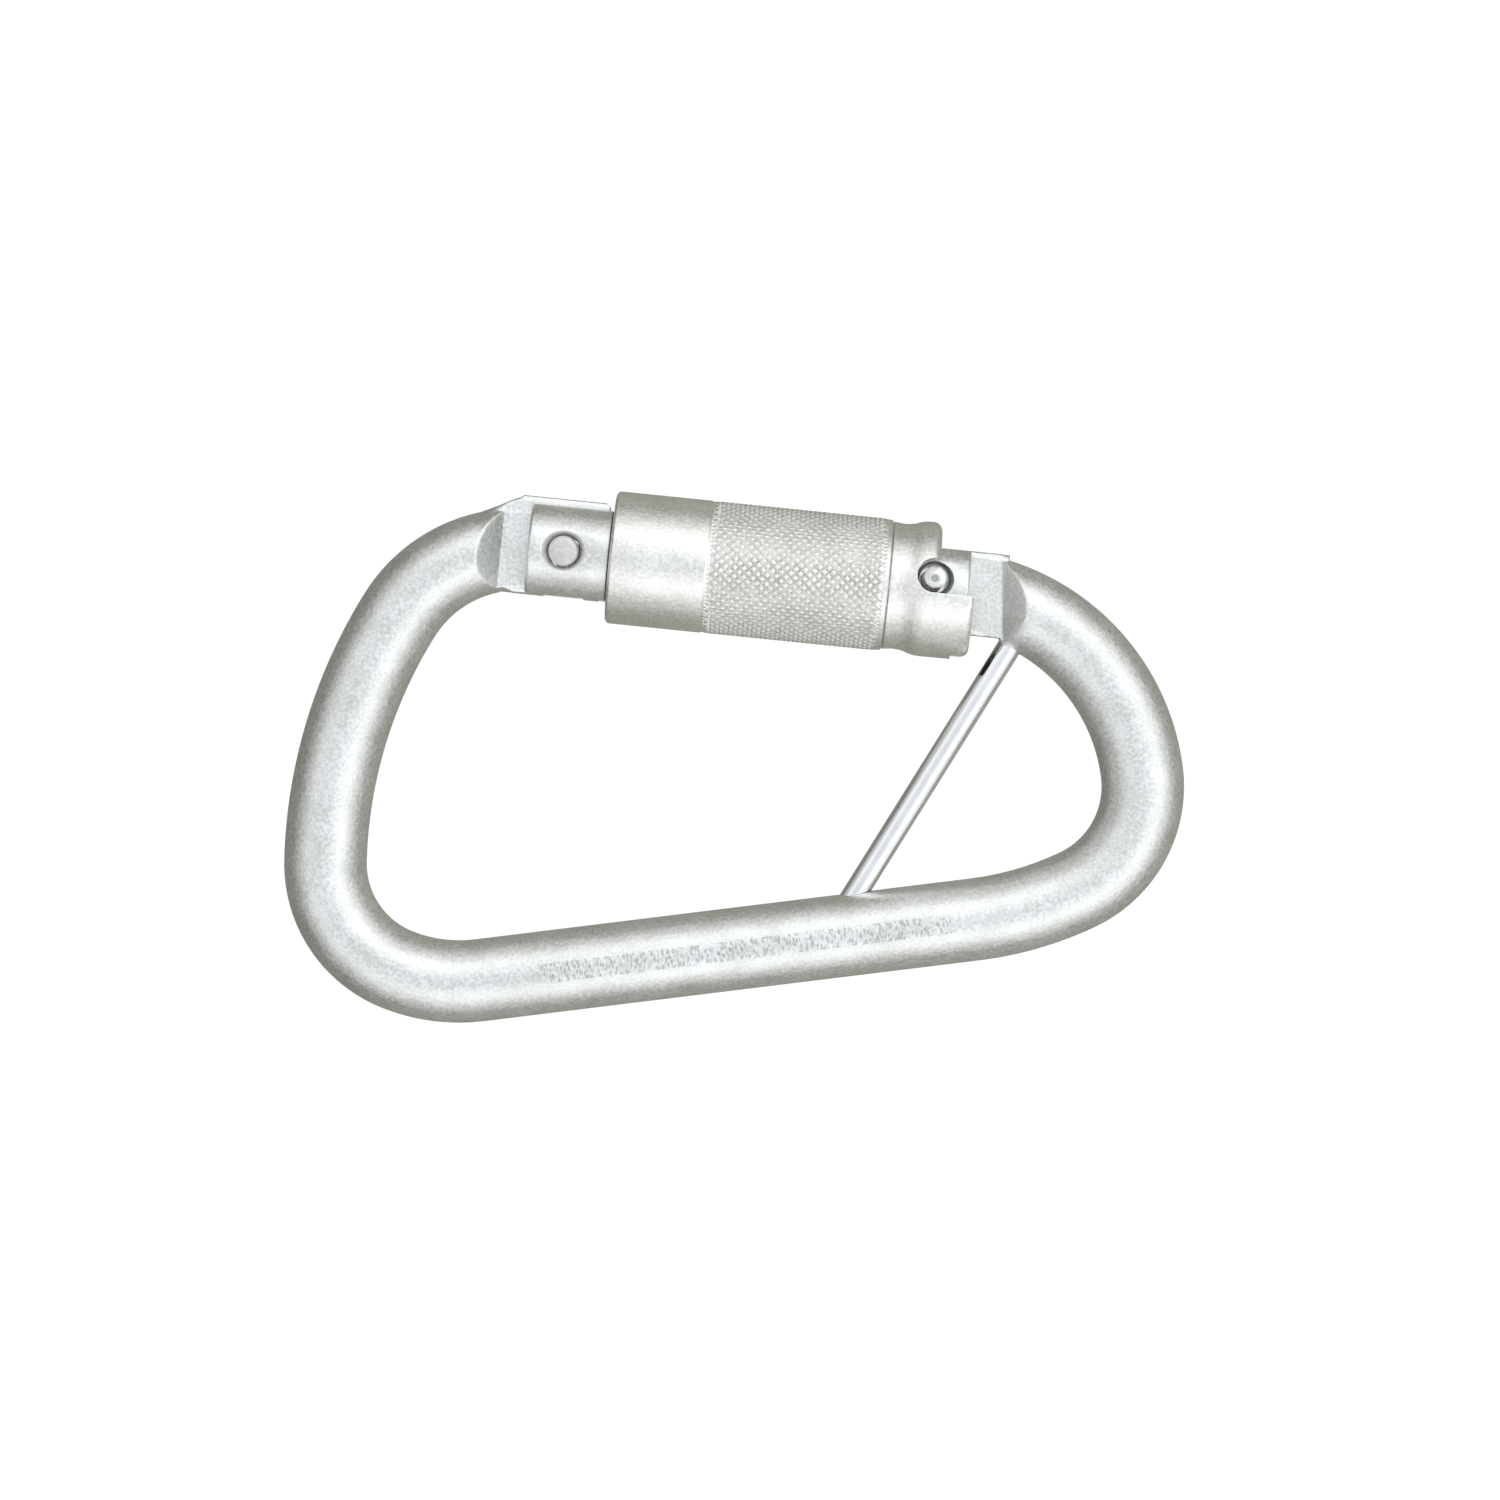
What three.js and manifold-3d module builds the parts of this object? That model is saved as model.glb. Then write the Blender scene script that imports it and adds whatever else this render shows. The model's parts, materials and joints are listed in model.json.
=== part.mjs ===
// Locking carabiner of forged round steel bar, with an auto-locking sleeve on its gate and a captive pin.
// It lies flat: +X runs to the narrow hinge end, +Y to the gate side, +Z up, millimetres.
// The origin is at the bottom centre of the bounding box.
import * as THREE from "three";
import { mergeVertices } from "three/addons/utils/BufferGeometryUtils.js";
import Module from "manifold-3d";

const wasm = await Module();
wasm.setup();

// ---- Driving dimensions, in millimetres and degrees ----

// Forged bar
const BAR_RADIUS = 5.1;
const BAR_SIDES = 24;
const BAR_STEPS = 84;
const BAR_HEADING = 174.2; // direction in which the bar leaves the nose, anticlockwise from +X
const BAR_START_DROP = 0.15; // how far the bar's centre starts below the gate axis
// The centreline from nose to hinge: straight runs, and bends that all turn anticlockwise.
const BAR_ROUTE = [
  { run: 4.1 }, // behind the nose tang
  { radius: 16.9, turn: 63.7 }, // nose bend
  { radius: 59.6, turn: 30.5 }, // wide end
  { radius: 13.9, turn: 69.5 }, // corner of the wide end
  { radius: 20.3, turn: 29.1 }, // easing into the spine
  { run: 60.8 }, // spine
  { radius: 41.2, turn: 18.3 }, // easing out of the spine
  { radius: 13.9, turn: 72.1 }, // narrow end
  { radius: 25.4, turn: 76.8 }, // hinge bend
];

// Milled tangs that the gate closes on
const TANG_HALF = 2.2; // half the tang's thickness
const SLOT_HALF = 2.4; // half the width of the gate slots around the tangs
const SHOULDER_REACH = 3.1; // length of the 45 degree shoulders between flat and round bar
const NOSE_SHOULDER = -7.7; // where the nose flats end, along the gate
const NOSE_TIP = 5.0;
const NOSE_TOP = 6.3;
const NOSE_BOTTOM = -5.7;
const HINGE_SHOULDER_X = 32.5; // where the hinge flats end, along X
const HINGE_TANG_HALF = 5.1;
const HINGE_UNDERCUT_END = 53.8; // how far the tang's straight lower edge runs, along the gate

// Gate axis: its origin is the latch pin, and it points at the hinge
const GATE_ORIGIN = new THREE.Vector3(-20.73, 24.84, 0);
const GATE_TILT = -5.8;
const GATE_RADIUS = 5.6;
const GATE_START = -4.4;
const GATE_END = 49.3;
const GATE_CHAMFER = 0.5;
const GATE_SIDES = 48;
const NOSE_SLOT_END = 5.9;
const HINGE_SLOT_START = 38.7;
const PIVOT_S = 45.0;
const PIVOT_N = 1.2;
const GATE_OPEN = 27;

// Pins
const LATCH_RADIUS = 1.85;
const LATCH_HALF = 5.15;
const LATCH_RECESS_RADIUS = 2.4;
const LATCH_RECESS_FLOOR = 4.75;
const LATCH_NOTCH_EASE = 0.9; // widening of the nose notch towards its mouth
const RIVET_RADIUS = 1.5;
const RIVET_RECESS_RADIUS = 2.0;
const RIVET_RECESS_FLOOR = 4.6;
const DIMPLE_RADIUS = 0.55;
const PIN_GAP = 0.15; // radial gap between a pin and its hole
const CAPTIVE_RADIUS = 1.5;
const CAPTIVE_TOP = new THREE.Vector3(35.9, 17.3, 0);
const CAPTIVE_BOTTOM = new THREE.Vector3(12.1, -20.9, 0);

// Gate closing spring and its plunger, in a bore along the gate
const PLUNGER_RADIUS = 2.35;
const PLUNGER_FRONT = 40.8;
const PLUNGER_LENGTH = 6.2;
const SPRING_BORE_RADIUS = 2.5;
const SPRING_BORE_START = 20;
const GATE_COIL = { radius: 1.9, wire: 0.3, turns: 10, stepsPerTurn: 14 };
const HEEL_OFFSET = 1.9; // base circle of the involute heel that works the plunger
const HEEL_REACH = 4.05; // from the pivot to the heel's face

// Sleeve: knurled barrel and cam collar, along the gate axis
const BARREL_START = 5.64;
const BARREL_END = 39.5;
const BARREL_RADIUS = 8.1;
const BARREL_BORE = 6.85;
const FLANGE_START = 9.0; // inner flange that stops the sleeve at rest
const FLANGE_END = 11.6;
const SLEEVE_BORE = 5.75;
const SLEEVE_SIDES = 56;
const SPIGOT_START = 36.5;
const SPIGOT_RADIUS = 6.7;
const NECK_START = 39.7;
const NECK_RADIUS = 7.65;
const FLARE_START = 42.2;
const FLARE_FULL = 43.9;
const FLARE_RADIUS = 8.25;
const RING_END = 45.5;
const RING_ROUND = 1.1;
const LOBE_END = 50.0;
const LOBE_ROUND = 0.8;
const LOBE_EDGE_N = -0.6; // the lobe fills the collar below this height
const POCKET_S = 44.9;
const POCKET_N = 1.5;
const POCKET_RADIUS = 2.1;
const UNLOCK_TWIST = 110;
const RELIEF_GAP = 0.35; // room around the hinge tang when the gate is open
const RELIEF_HALF = 2.6;

// Retaining ring in a groove of the gate, and the sleeve's return spring
const RING_GROOVE = { start: 11.85, end: 13.05, radius: 4.95 };
const RING = { start: 11.95, end: 12.95, inner: 5.1, outer: 6.65, mouth: 60 };
const SLEEVE_COIL = { radius: 6.22, wire: 0.4, turns: 8, stepsPerTurn: 22 };
const SLEEVE_COIL_START = 13.2;
const SLEEVE_COIL_END = 36.3;

// ---- Finishes ----

const zincPlate = metal(0xc9cac4, 0.38);
const machinedSteel = metal(0xdfe0df, 0.3);
const polishedSteel = metal(0xe6e7e8, 0.12);
const springSteel = metal(0x8d8f92, 0.3);

function metal(color, roughness) {
  return new THREE.MeshStandardMaterial({ color, roughness, metalness: 1 });
}

// ---- Solid modelling helpers ----

const radians = THREE.MathUtils.degToRad;

// A closed geometry as a solid that can be joined and cut.
function solid(geometry) {
  const plain = geometry.index ? geometry.toNonIndexed() : geometry.clone();
  plain.deleteAttribute("normal");
  plain.deleteAttribute("uv");
  const merged = mergeVertices(plain, 1e-4);
  return new wasm.Manifold(new wasm.Mesh({
    numProp: 3,
    vertProperties: merged.attributes.position.array,
    triVerts: new Uint32Array(merged.index.array),
  }));
}

// A joined or cut solid as a geometry with flat normals.
function geometryOf(manifold) {
  const mesh = manifold.getMesh();
  const indexed = new THREE.BufferGeometry();
  indexed.setAttribute("position", new THREE.BufferAttribute(mesh.vertProperties, 3));
  indexed.setIndex(new THREE.BufferAttribute(mesh.triVerts, 1));
  const geometry = indexed.toNonIndexed();
  geometry.computeVertexNormals();
  return geometry;
}

// An outline in the XY plane, as thick as the run from z0 to z1.
function plate(points, z0, z1) {
  const depth = z1 - z0;
  const geometry = new THREE.ExtrudeGeometry(new THREE.Shape(points), { depth, bevelEnabled: false });
  return geometry.translate(0, 0, z0);
}

// An outline in the XZ plane, swept along Y over the run from y0 to y1.
function wedge(points, y0, y1) {
  return plate(points, -y1, -y0).rotateX(Math.PI / 2);
}

// A round rod along Z.
function rod(radius, z0, z1, x, y, sides = 32) {
  const geometry = new THREE.CylinderGeometry(radius, radius, z1 - z0, sides);
  return geometry.rotateX(Math.PI / 2).translate(x, y, (z0 + z1) / 2);
}

// A round rod between two points.
function rodBetween(radius, start, end, sides = 28) {
  const along = end.clone().sub(start);
  const geometry = new THREE.CylinderGeometry(radius, radius, along.length(), sides);
  const turn = new THREE.Quaternion().setFromUnitVectors(
    new THREE.Vector3(0, 1, 0), along.clone().normalize());
  const middle = start.clone().add(end).multiplyScalar(0.5);
  return geometry.applyQuaternion(turn).translate(middle.x, middle.y, middle.z);
}

// A solid turned about the X axis from [along, radius] pairs.
function turned(profile, sides) {
  const points = profile.map(([along, radius]) => new THREE.Vector2(radius, along));
  return new THREE.LatheGeometry(points, sides).rotateZ(-Math.PI / 2);
}

// Points of an arc about (x, y), from one angle to another in degrees.
function arc(x, y, radius, from, to, steps) {
  const points = [];
  for (let i = 0; i <= steps; i++) {
    const angle = radians(from + ((to - from) * i) / steps);
    points.push(new THREE.Vector2(x + radius * Math.cos(angle), y + radius * Math.sin(angle)));
  }
  return points;
}

const point = (x, y) => new THREE.Vector2(x, y);

// An outline and its mirror image below the middle plane.
function mirrored(outline) {
  return [outline, outline.map(({ x, y }) => point(x, -y)).reverse()];
}

// Moves a geometry from the gate's own frame to the part's.
function fromGateFrame(geometry) {
  return geometry
    .rotateZ(radians(GATE_TILT))
    .translate(GATE_ORIGIN.x, GATE_ORIGIN.y, GATE_ORIGIN.z);
}

// ---- Curves ----

// The bar's centreline, walked from its route by true length.
class BarCentreline extends THREE.Curve {
  constructor(start, heading, route) {
    super();
    this.pieces = [];
    this.length = 0;
    const at = start.clone();
    let angle = radians(heading);
    for (const { run, radius, turn } of route) {
      const piece = { from: this.length, start: at.clone(), angle, radius };
      piece.length = run ?? radius * radians(turn);
      this.pieces.push(piece);
      this.length += piece.length;
      at.copy(this.pointOn(piece, piece.length));
      angle += run ? 0 : radians(turn);
    }
  }

  pointOn({ start, angle, radius }, along) {
    if (!radius) {
      return new THREE.Vector3(Math.cos(angle), Math.sin(angle), 0).multiplyScalar(along).add(start);
    }
    const end = angle + along / radius;
    const x = radius * (Math.sin(end) - Math.sin(angle));
    const y = radius * (Math.cos(angle) - Math.cos(end));
    return new THREE.Vector3(x, y, 0).add(start);
  }

  getPoint(t) {
    const along = t * this.length;
    const piece = this.pieces.findLast(({ from }) => from <= along) ?? this.pieces[0];
    return this.pointOn(piece, along - piece.from);
  }
}

// A helix about the X axis, whose first and last turns close up on their neighbours.
class CoilCurve extends THREE.Curve {
  constructor({ radius, wire, turns }, start, end) {
    super();
    Object.assign(this, { radius, wire, turns, start, end });
  }

  getPoint(t) {
    const closed = this.wire * 2.3;
    const first = this.start + this.wire;
    const last = this.end - this.wire;
    const turn = t * this.turns;
    const open = (turn - 1) / (this.turns - 2);
    let along = first + closed + (last - first - 2 * closed) * open;
    if (turn < 1) along = first + closed * turn;
    if (turn > this.turns - 1) along = last - closed * (this.turns - turn);
    const angle = 2 * Math.PI * turn;
    return new THREE.Vector3(along, this.radius * Math.cos(angle), this.radius * Math.sin(angle));
  }
}

function sweptRound(curve, radius, sides, steps) {
  const section = new THREE.Shape(arc(0, 0, radius, 0, 360 - 360 / sides, sides - 1));
  return new THREE.ExtrudeGeometry(section, { steps, extrudePath: curve, bevelEnabled: false });
}

function coil(size, start, end) {
  const curve = new CoilCurve(size, start, end);
  return sweptRound(curve, size.wire, 6, size.turns * size.stepsPerTurn);
}

// ---- Body ----

// Outline of the nose tang in the gate's frame: a square corner outside, a flat tip inside the gate.
function noseTangOutline() {
  return [
    point(NOSE_TIP, NOSE_BOTTOM + 0.5),
    point(NOSE_TIP, NOSE_TOP - 0.4),
    point(NOSE_TIP - 0.4, NOSE_TOP),
    point(-4.6, NOSE_TOP + 0.15),
    point(-5.6, NOSE_TOP),
    point(-12, 3.25),
    point(-12, -1),
    point(-8.2, NOSE_BOTTOM),
    point(NOSE_TIP - 0.5, NOSE_BOTTOM),
  ];
}

// The involute heel, about the pivot: it lifts a flat plunger evenly as the gate opens.
function heelPoints(steps) {
  const points = [];
  for (let i = 0; i <= steps; i++) {
    const angle = (radians(GATE_OPEN + 4) * i) / steps;
    const reach = HEEL_REACH + HEEL_OFFSET * angle;
    const x = HEEL_OFFSET * Math.sin(angle) - reach * Math.cos(angle);
    const y = -reach * Math.sin(angle) - HEEL_OFFSET * Math.cos(angle);
    points.push(point(PIVOT_S + x, PIVOT_N + y));
  }
  return points;
}

// Outline of the hinge tang in the gate's frame, round above the pivot and with the heel on its face.
function hingeTangOutline(bottom = -HINGE_TANG_HALF) {
  const crown = HINGE_TANG_HALF - PIVOT_N;
  return [
    ...arc(PIVOT_S, PIVOT_N, crown, 90, 150, 6),
    point(PIVOT_S - HEEL_REACH, PIVOT_N - 0.4),
    ...heelPoints(8),
    point(PIVOT_S - 2.9, bottom + 0.9),
    point(PIVOT_S - 1.6, bottom),
    point(54.2, bottom),
    point(58, -3),
    point(58, 3.3),
    point(53, HINGE_TANG_HALF),
  ];
}

// What is milled off the bar's inner side, so that the hinge tang's lower edge is straight.
function hingeUndercut() {
  const reach = BAR_RADIUS + 1;
  return plate([
    point(PIVOT_S, -HINGE_TANG_HALF - reach),
    point(HINGE_UNDERCUT_END, -HINGE_TANG_HALF - reach),
    point(HINGE_UNDERCUT_END, -HINGE_TANG_HALF),
    point(PIVOT_S, -HINGE_TANG_HALF),
  ], -reach, reach);
}

// The notch of the nose, which hooks over the latch pin and opens to the inside.
function latchNotch() {
  const half = LATCH_RADIUS + 0.25;
  const mouth = NOSE_BOTTOM - 1;
  return plate([
    ...arc(0, 0, half, 0, 180, 12),
    point(-half, mouth),
    point(half + LATCH_NOTCH_EASE, mouth),
  ], -TANG_HALF - 1, TANG_HALF + 1);
}

// Side outline of what is milled off the round bar above a tang, with its 45 degree shoulder.
function flatCutOutline(shoulder, end) {
  const away = Math.sign(end - shoulder);
  const top = TANG_HALF + SHOULDER_REACH;
  const outline = [
    point(shoulder, TANG_HALF),
    point(shoulder - away * SHOULDER_REACH, top),
    point(shoulder - away * SHOULDER_REACH, top + 3),
    point(end, top + 3),
    point(end, TANG_HALF),
  ];
  return away > 0 ? outline.reverse() : outline;
}

function captiveHole() {
  const along = CAPTIVE_BOTTOM.clone().sub(CAPTIVE_TOP).normalize().multiplyScalar(0.3);
  const start = CAPTIVE_TOP.clone().sub(along);
  const end = CAPTIVE_BOTTOM.clone().add(along);
  return rodBetween(CAPTIVE_RADIUS + PIN_GAP, start, end);
}

function barCentreline() {
  const start = new THREE.Vector3(0, -BAR_START_DROP, 0);
  start.applyAxisAngle(new THREE.Vector3(0, 0, 1), radians(GATE_TILT)).add(GATE_ORIGIN);
  return new BarCentreline(start, BAR_HEADING, BAR_ROUTE);
}

function body() {
  let shape = solid(sweptRound(barCentreline(), BAR_RADIUS, BAR_SIDES, BAR_STEPS));
  for (const side of mirrored(flatCutOutline(NOSE_SHOULDER, 9))) {
    shape = shape.subtract(solid(fromGateFrame(wedge(side, -14, 14))));
  }
  for (const side of mirrored(flatCutOutline(HINGE_SHOULDER_X, 12))) {
    shape = shape.subtract(solid(wedge(side, 3, 40)));
  }
  for (const outline of [noseTangOutline(), hingeTangOutline()]) {
    shape = shape.add(solid(fromGateFrame(plate(outline, -TANG_HALF, TANG_HALF))));
  }
  const pivotHole = rod(RIVET_RADIUS + PIN_GAP, -TANG_HALF - 1, TANG_HALF + 1, PIVOT_S, PIVOT_N);
  shape = shape.subtract(solid(fromGateFrame(hingeUndercut())));
  shape = shape.subtract(solid(fromGateFrame(latchNotch())));
  shape = shape.subtract(solid(fromGateFrame(pivotHole)));
  shape = shape.subtract(solid(captiveHole()));
  return geometryOf(shape);
}

function captivePin() {
  return rodBetween(CAPTIVE_RADIUS, CAPTIVE_TOP, CAPTIVE_BOTTOM);
}

// ---- Gate, in its own frame ----

function gateSlot(from, to) {
  const reach = GATE_RADIUS + 2;
  return plate([
    point(from, -reach), point(to, -reach), point(to, reach), point(from, reach),
  ], -SLOT_HALF, SLOT_HALF);
}

function gateArm() {
  const groove = RING_GROOVE;
  let shape = solid(turned([
    [GATE_START, 0],
    [GATE_START, GATE_RADIUS - GATE_CHAMFER],
    [GATE_START + GATE_CHAMFER, GATE_RADIUS],
    [groove.start, GATE_RADIUS],
    [groove.start, groove.radius],
    [groove.end, groove.radius],
    [groove.end, GATE_RADIUS],
    [GATE_END - GATE_CHAMFER, GATE_RADIUS],
    [GATE_END, GATE_RADIUS - GATE_CHAMFER],
    [GATE_END, 0],
  ], GATE_SIDES));
  const bore = rodBetween(SPRING_BORE_RADIUS,
    new THREE.Vector3(SPRING_BORE_START, 0, 0), new THREE.Vector3(HINGE_SLOT_START + 1, 0, 0));
  const cuts = [
    gateSlot(GATE_START - 1, NOSE_SLOT_END),
    gateSlot(HINGE_SLOT_START, GATE_END + 1),
    bore,
    rod(LATCH_RADIUS + PIN_GAP, -7, 7, 0, 0),
    rod(RIVET_RADIUS + PIN_GAP, -7, 7, PIVOT_S, PIVOT_N),
  ];
  for (const side of [-1, 1]) {
    cuts.push(recess(side, LATCH_RECESS_RADIUS, LATCH_RECESS_FLOOR, 0, 0));
    cuts.push(recess(side, RIVET_RECESS_RADIUS, RIVET_RECESS_FLOOR, PIVOT_S, PIVOT_N));
  }
  for (const cut of cuts) shape = shape.subtract(solid(cut));
  return geometryOf(shape);
}

// A shallow round recess in the gate's front or back, around the end of a pin.
function recess(side, radius, floor, s, n) {
  return rod(radius, Math.min(side * floor, side * 7), Math.max(side * floor, side * 7), s, n);
}

function latchPin() {
  const chamfer = 0.3;
  const pin = turned([
    [-LATCH_HALF, 0],
    [-LATCH_HALF, LATCH_RADIUS - chamfer],
    [chamfer - LATCH_HALF, LATCH_RADIUS],
    [LATCH_HALF - chamfer, LATCH_RADIUS],
    [LATCH_HALF, LATCH_RADIUS - chamfer],
    [LATCH_HALF, 0],
  ], 32);
  return pin.rotateY(-Math.PI / 2);
}

// The rivet's ends are dressed to the gate's round surface and dimpled.
function hingeRivet() {
  const barrel = new THREE.CylinderGeometry(GATE_RADIUS, GATE_RADIUS, 20, GATE_SIDES)
    .rotateZ(Math.PI / 2).translate(PIVOT_S, 0, 0);
  let shape = solid(rod(RIVET_RADIUS, -6, 6, PIVOT_S, PIVOT_N)).intersect(solid(barrel));
  for (const side of [-1, 1]) {
    const dimple = new THREE.SphereGeometry(DIMPLE_RADIUS, 16, 10);
    shape = shape.subtract(solid(dimple.translate(PIVOT_S, PIVOT_N, side * (GATE_RADIUS - 0.15))));
  }
  return geometryOf(shape);
}

function retainingRing() {
  const { start, end, inner, outer, mouth } = RING;
  const ring = turned([
    [start, inner], [start, outer], [end, outer], [end, inner], [start, inner],
  ], GATE_SIDES);
  const half = outer * Math.tan(radians(mouth / 2)) * 1.2;
  const opening = wedge([
    point(start - 1, 0), point(end + 1, 0), point(end + 1, outer * 1.2), point(start - 1, outer * 1.2),
  ], -half / 2, half / 2);
  return geometryOf(solid(ring).subtract(solid(opening)));
}

function gateSpring() {
  const end = PLUNGER_FRONT - PLUNGER_LENGTH - 0.2;
  return coil(GATE_COIL, SPRING_BORE_START + 0.3, end);
}

function gatePlunger() {
  const back = PLUNGER_FRONT - PLUNGER_LENGTH;
  const chamfer = 0.4;
  return turned([
    [back, 0],
    [back, PLUNGER_RADIUS - chamfer],
    [back + chamfer, PLUNGER_RADIUS],
    [PLUNGER_FRONT - chamfer, PLUNGER_RADIUS],
    [PLUNGER_FRONT, PLUNGER_RADIUS - chamfer],
    [PLUNGER_FRONT, 0],
  ], 28);
}

// ---- Sleeve, in the gate's frame ----

function sleeveSpring() {
  return coil(SLEEVE_COIL, SLEEVE_COIL_START, SLEEVE_COIL_END);
}

function sleeveBarrel() {
  const chamfer = 0.5;
  return turned([
    [BARREL_START, BARREL_BORE],
    [BARREL_START, BARREL_RADIUS - chamfer],
    [BARREL_START + chamfer, BARREL_RADIUS],
    [BARREL_END - chamfer, BARREL_RADIUS],
    [BARREL_END, BARREL_RADIUS - chamfer],
    [BARREL_END, BARREL_BORE],
    [FLANGE_END, BARREL_BORE],
    [FLANGE_END, SLEEVE_BORE],
    [FLANGE_START, SLEEVE_BORE],
    [FLANGE_START, BARREL_BORE],
    [BARREL_START, BARREL_BORE],
  ], SLEEVE_SIDES);
}

// Rounded outer edge of a turned end, as [along, radius] pairs.
function roundedEdge(end, radius, round) {
  return arc(end - round, radius - round, round, 90, 0, 4).map(({ x, y }) => [x, y]);
}

function collarRing() {
  return turned([
    [SPIGOT_START, SLEEVE_BORE],
    [SPIGOT_START, SPIGOT_RADIUS],
    [NECK_START, SPIGOT_RADIUS],
    [NECK_START, NECK_RADIUS + 0.1],
    [(NECK_START + FLARE_START) / 2, NECK_RADIUS],
    [FLARE_START, NECK_RADIUS + 0.1],
    [FLARE_FULL, FLARE_RADIUS],
    ...roundedEdge(RING_END, FLARE_RADIUS, RING_ROUND).slice(1),
    [RING_END, SLEEVE_BORE],
    [SPIGOT_START, SLEEVE_BORE],
  ], SLEEVE_SIDES);
}

// The lobe under the hinge: the lower half of a longer ring.
function collarLobe() {
  const ring = turned([
    [FLARE_FULL, SLEEVE_BORE],
    [FLARE_FULL, FLARE_RADIUS],
    ...roundedEdge(LOBE_END, FLARE_RADIUS, LOBE_ROUND),
    [LOBE_END, SLEEVE_BORE],
    [FLARE_FULL, SLEEVE_BORE],
  ], SLEEVE_SIDES);
  const depth = FLARE_RADIUS + 1;
  const corner = 0.8;
  const lowerHalf = plate([
    point(FLARE_FULL - 1, -depth),
    point(LOBE_END + 1, -depth),
    point(LOBE_END + 1, LOBE_EDGE_N - corner - 1),
    point(LOBE_END, LOBE_EDGE_N - corner),
    point(LOBE_END - corner * 0.3, LOBE_EDGE_N - corner * 0.3),
    point(LOBE_END - corner, LOBE_EDGE_N),
    point(FLARE_FULL - 1, LOBE_EDGE_N),
  ], -depth, depth);
  return solid(ring).intersect(solid(lowerHalf));
}

// Room for the hinge tang when the gate stands open, in the sleeve as it stands at a given twist.
function tangRelief(twist) {
  const outline = hingeTangOutline(-HINGE_TANG_HALF - RELIEF_GAP);
  const open = plate(outline, -RELIEF_HALF, RELIEF_HALF)
    .translate(-PIVOT_S, -PIVOT_N, 0)
    .rotateZ(-radians(GATE_OPEN))
    .translate(PIVOT_S, PIVOT_N, 0);
  return solid(open.rotateX(-radians(twist)));
}

function camCollar() {
  let shape = solid(collarRing()).add(collarLobe());
  const reach = FLARE_RADIUS + 1;
  shape = shape.subtract(solid(rod(POCKET_RADIUS, -reach, reach, POCKET_S, POCKET_N)));
  for (const twist of [0, UNLOCK_TWIST]) shape = shape.subtract(tangRelief(twist));
  return geometryOf(shape);
}

// ---- Assembly ----

function piece(name, geometry, material) {
  const mesh = new THREE.Mesh(geometry, material);
  mesh.name = name;
  return mesh;
}

function gateAssembly() {
  const gate = new THREE.Group();
  gate.position.copy(GATE_ORIGIN);
  gate.rotation.z = radians(GATE_TILT);
  gate.add(
    piece("gate_arm", gateArm(), zincPlate),
    piece("latch_pin", latchPin(), machinedSteel),
    piece("hinge_rivet", hingeRivet(), machinedSteel),
    piece("retaining_ring", retainingRing(), springSteel),
    piece("gate_spring", gateSpring(), springSteel),
    piece("gate_plunger", gatePlunger(), machinedSteel),
    piece("sleeve_spring", sleeveSpring(), springSteel),
    piece("sleeve_barrel", sleeveBarrel(), zincPlate),
    piece("cam_collar", camCollar(), zincPlate),
  );
  return gate;
}

function carabiner() {
  const whole = new THREE.Group();
  whole.add(
    piece("body", body(), zincPlate),
    piece("captive_pin", captivePin(), polishedSteel),
    gateAssembly(),
  );
  whole.updateMatrixWorld(true);
  const box = new THREE.Box3().setFromObject(whole, true);
  const middle = box.getCenter(new THREE.Vector3());
  whole.position.set(-middle.x, -middle.y, -box.min.z);
  return whole;
}

export default carabiner();
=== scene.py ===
"""Looks of a locking carabiner of forged, zinc-plated steel bar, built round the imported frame.

The maker's own coordinates are used while a piece is built: s runs along the gate from the latch pin
to the hinge, n points out of the carabiner across the gate, and z stands square to the bent bar, all
in millimetres with z = 0 in the bar's middle plane. A finished piece is then set into the frame.
"""

import json
import logging
import math
from dataclasses import dataclass
from enum import Enum
from typing import Iterable, Sequence

import bmesh
import bpy
import numpy as np
from mathutils import Matrix, Vector


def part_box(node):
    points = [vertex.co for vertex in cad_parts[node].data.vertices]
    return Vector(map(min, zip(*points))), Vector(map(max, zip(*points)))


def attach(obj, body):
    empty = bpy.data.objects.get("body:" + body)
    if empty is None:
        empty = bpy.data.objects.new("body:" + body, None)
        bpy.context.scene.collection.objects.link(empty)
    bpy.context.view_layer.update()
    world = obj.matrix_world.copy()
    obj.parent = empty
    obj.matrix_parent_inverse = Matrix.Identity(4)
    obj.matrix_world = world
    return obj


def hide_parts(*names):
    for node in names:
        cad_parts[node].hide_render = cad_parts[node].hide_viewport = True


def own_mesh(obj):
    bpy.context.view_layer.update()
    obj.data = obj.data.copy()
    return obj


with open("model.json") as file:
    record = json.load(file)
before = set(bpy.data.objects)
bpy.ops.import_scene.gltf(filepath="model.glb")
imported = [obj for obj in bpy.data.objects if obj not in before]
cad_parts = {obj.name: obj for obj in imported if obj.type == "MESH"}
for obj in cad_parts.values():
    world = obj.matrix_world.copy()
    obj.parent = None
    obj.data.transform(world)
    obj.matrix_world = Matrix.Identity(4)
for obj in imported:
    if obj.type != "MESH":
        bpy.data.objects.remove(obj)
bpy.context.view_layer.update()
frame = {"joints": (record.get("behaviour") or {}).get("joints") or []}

log = logging.getLogger("carabiner")

MM = 0.001
Point = tuple[float, float]
Ring = list[int]


# ---------------------------------------------------------------- Mesh building


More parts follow.
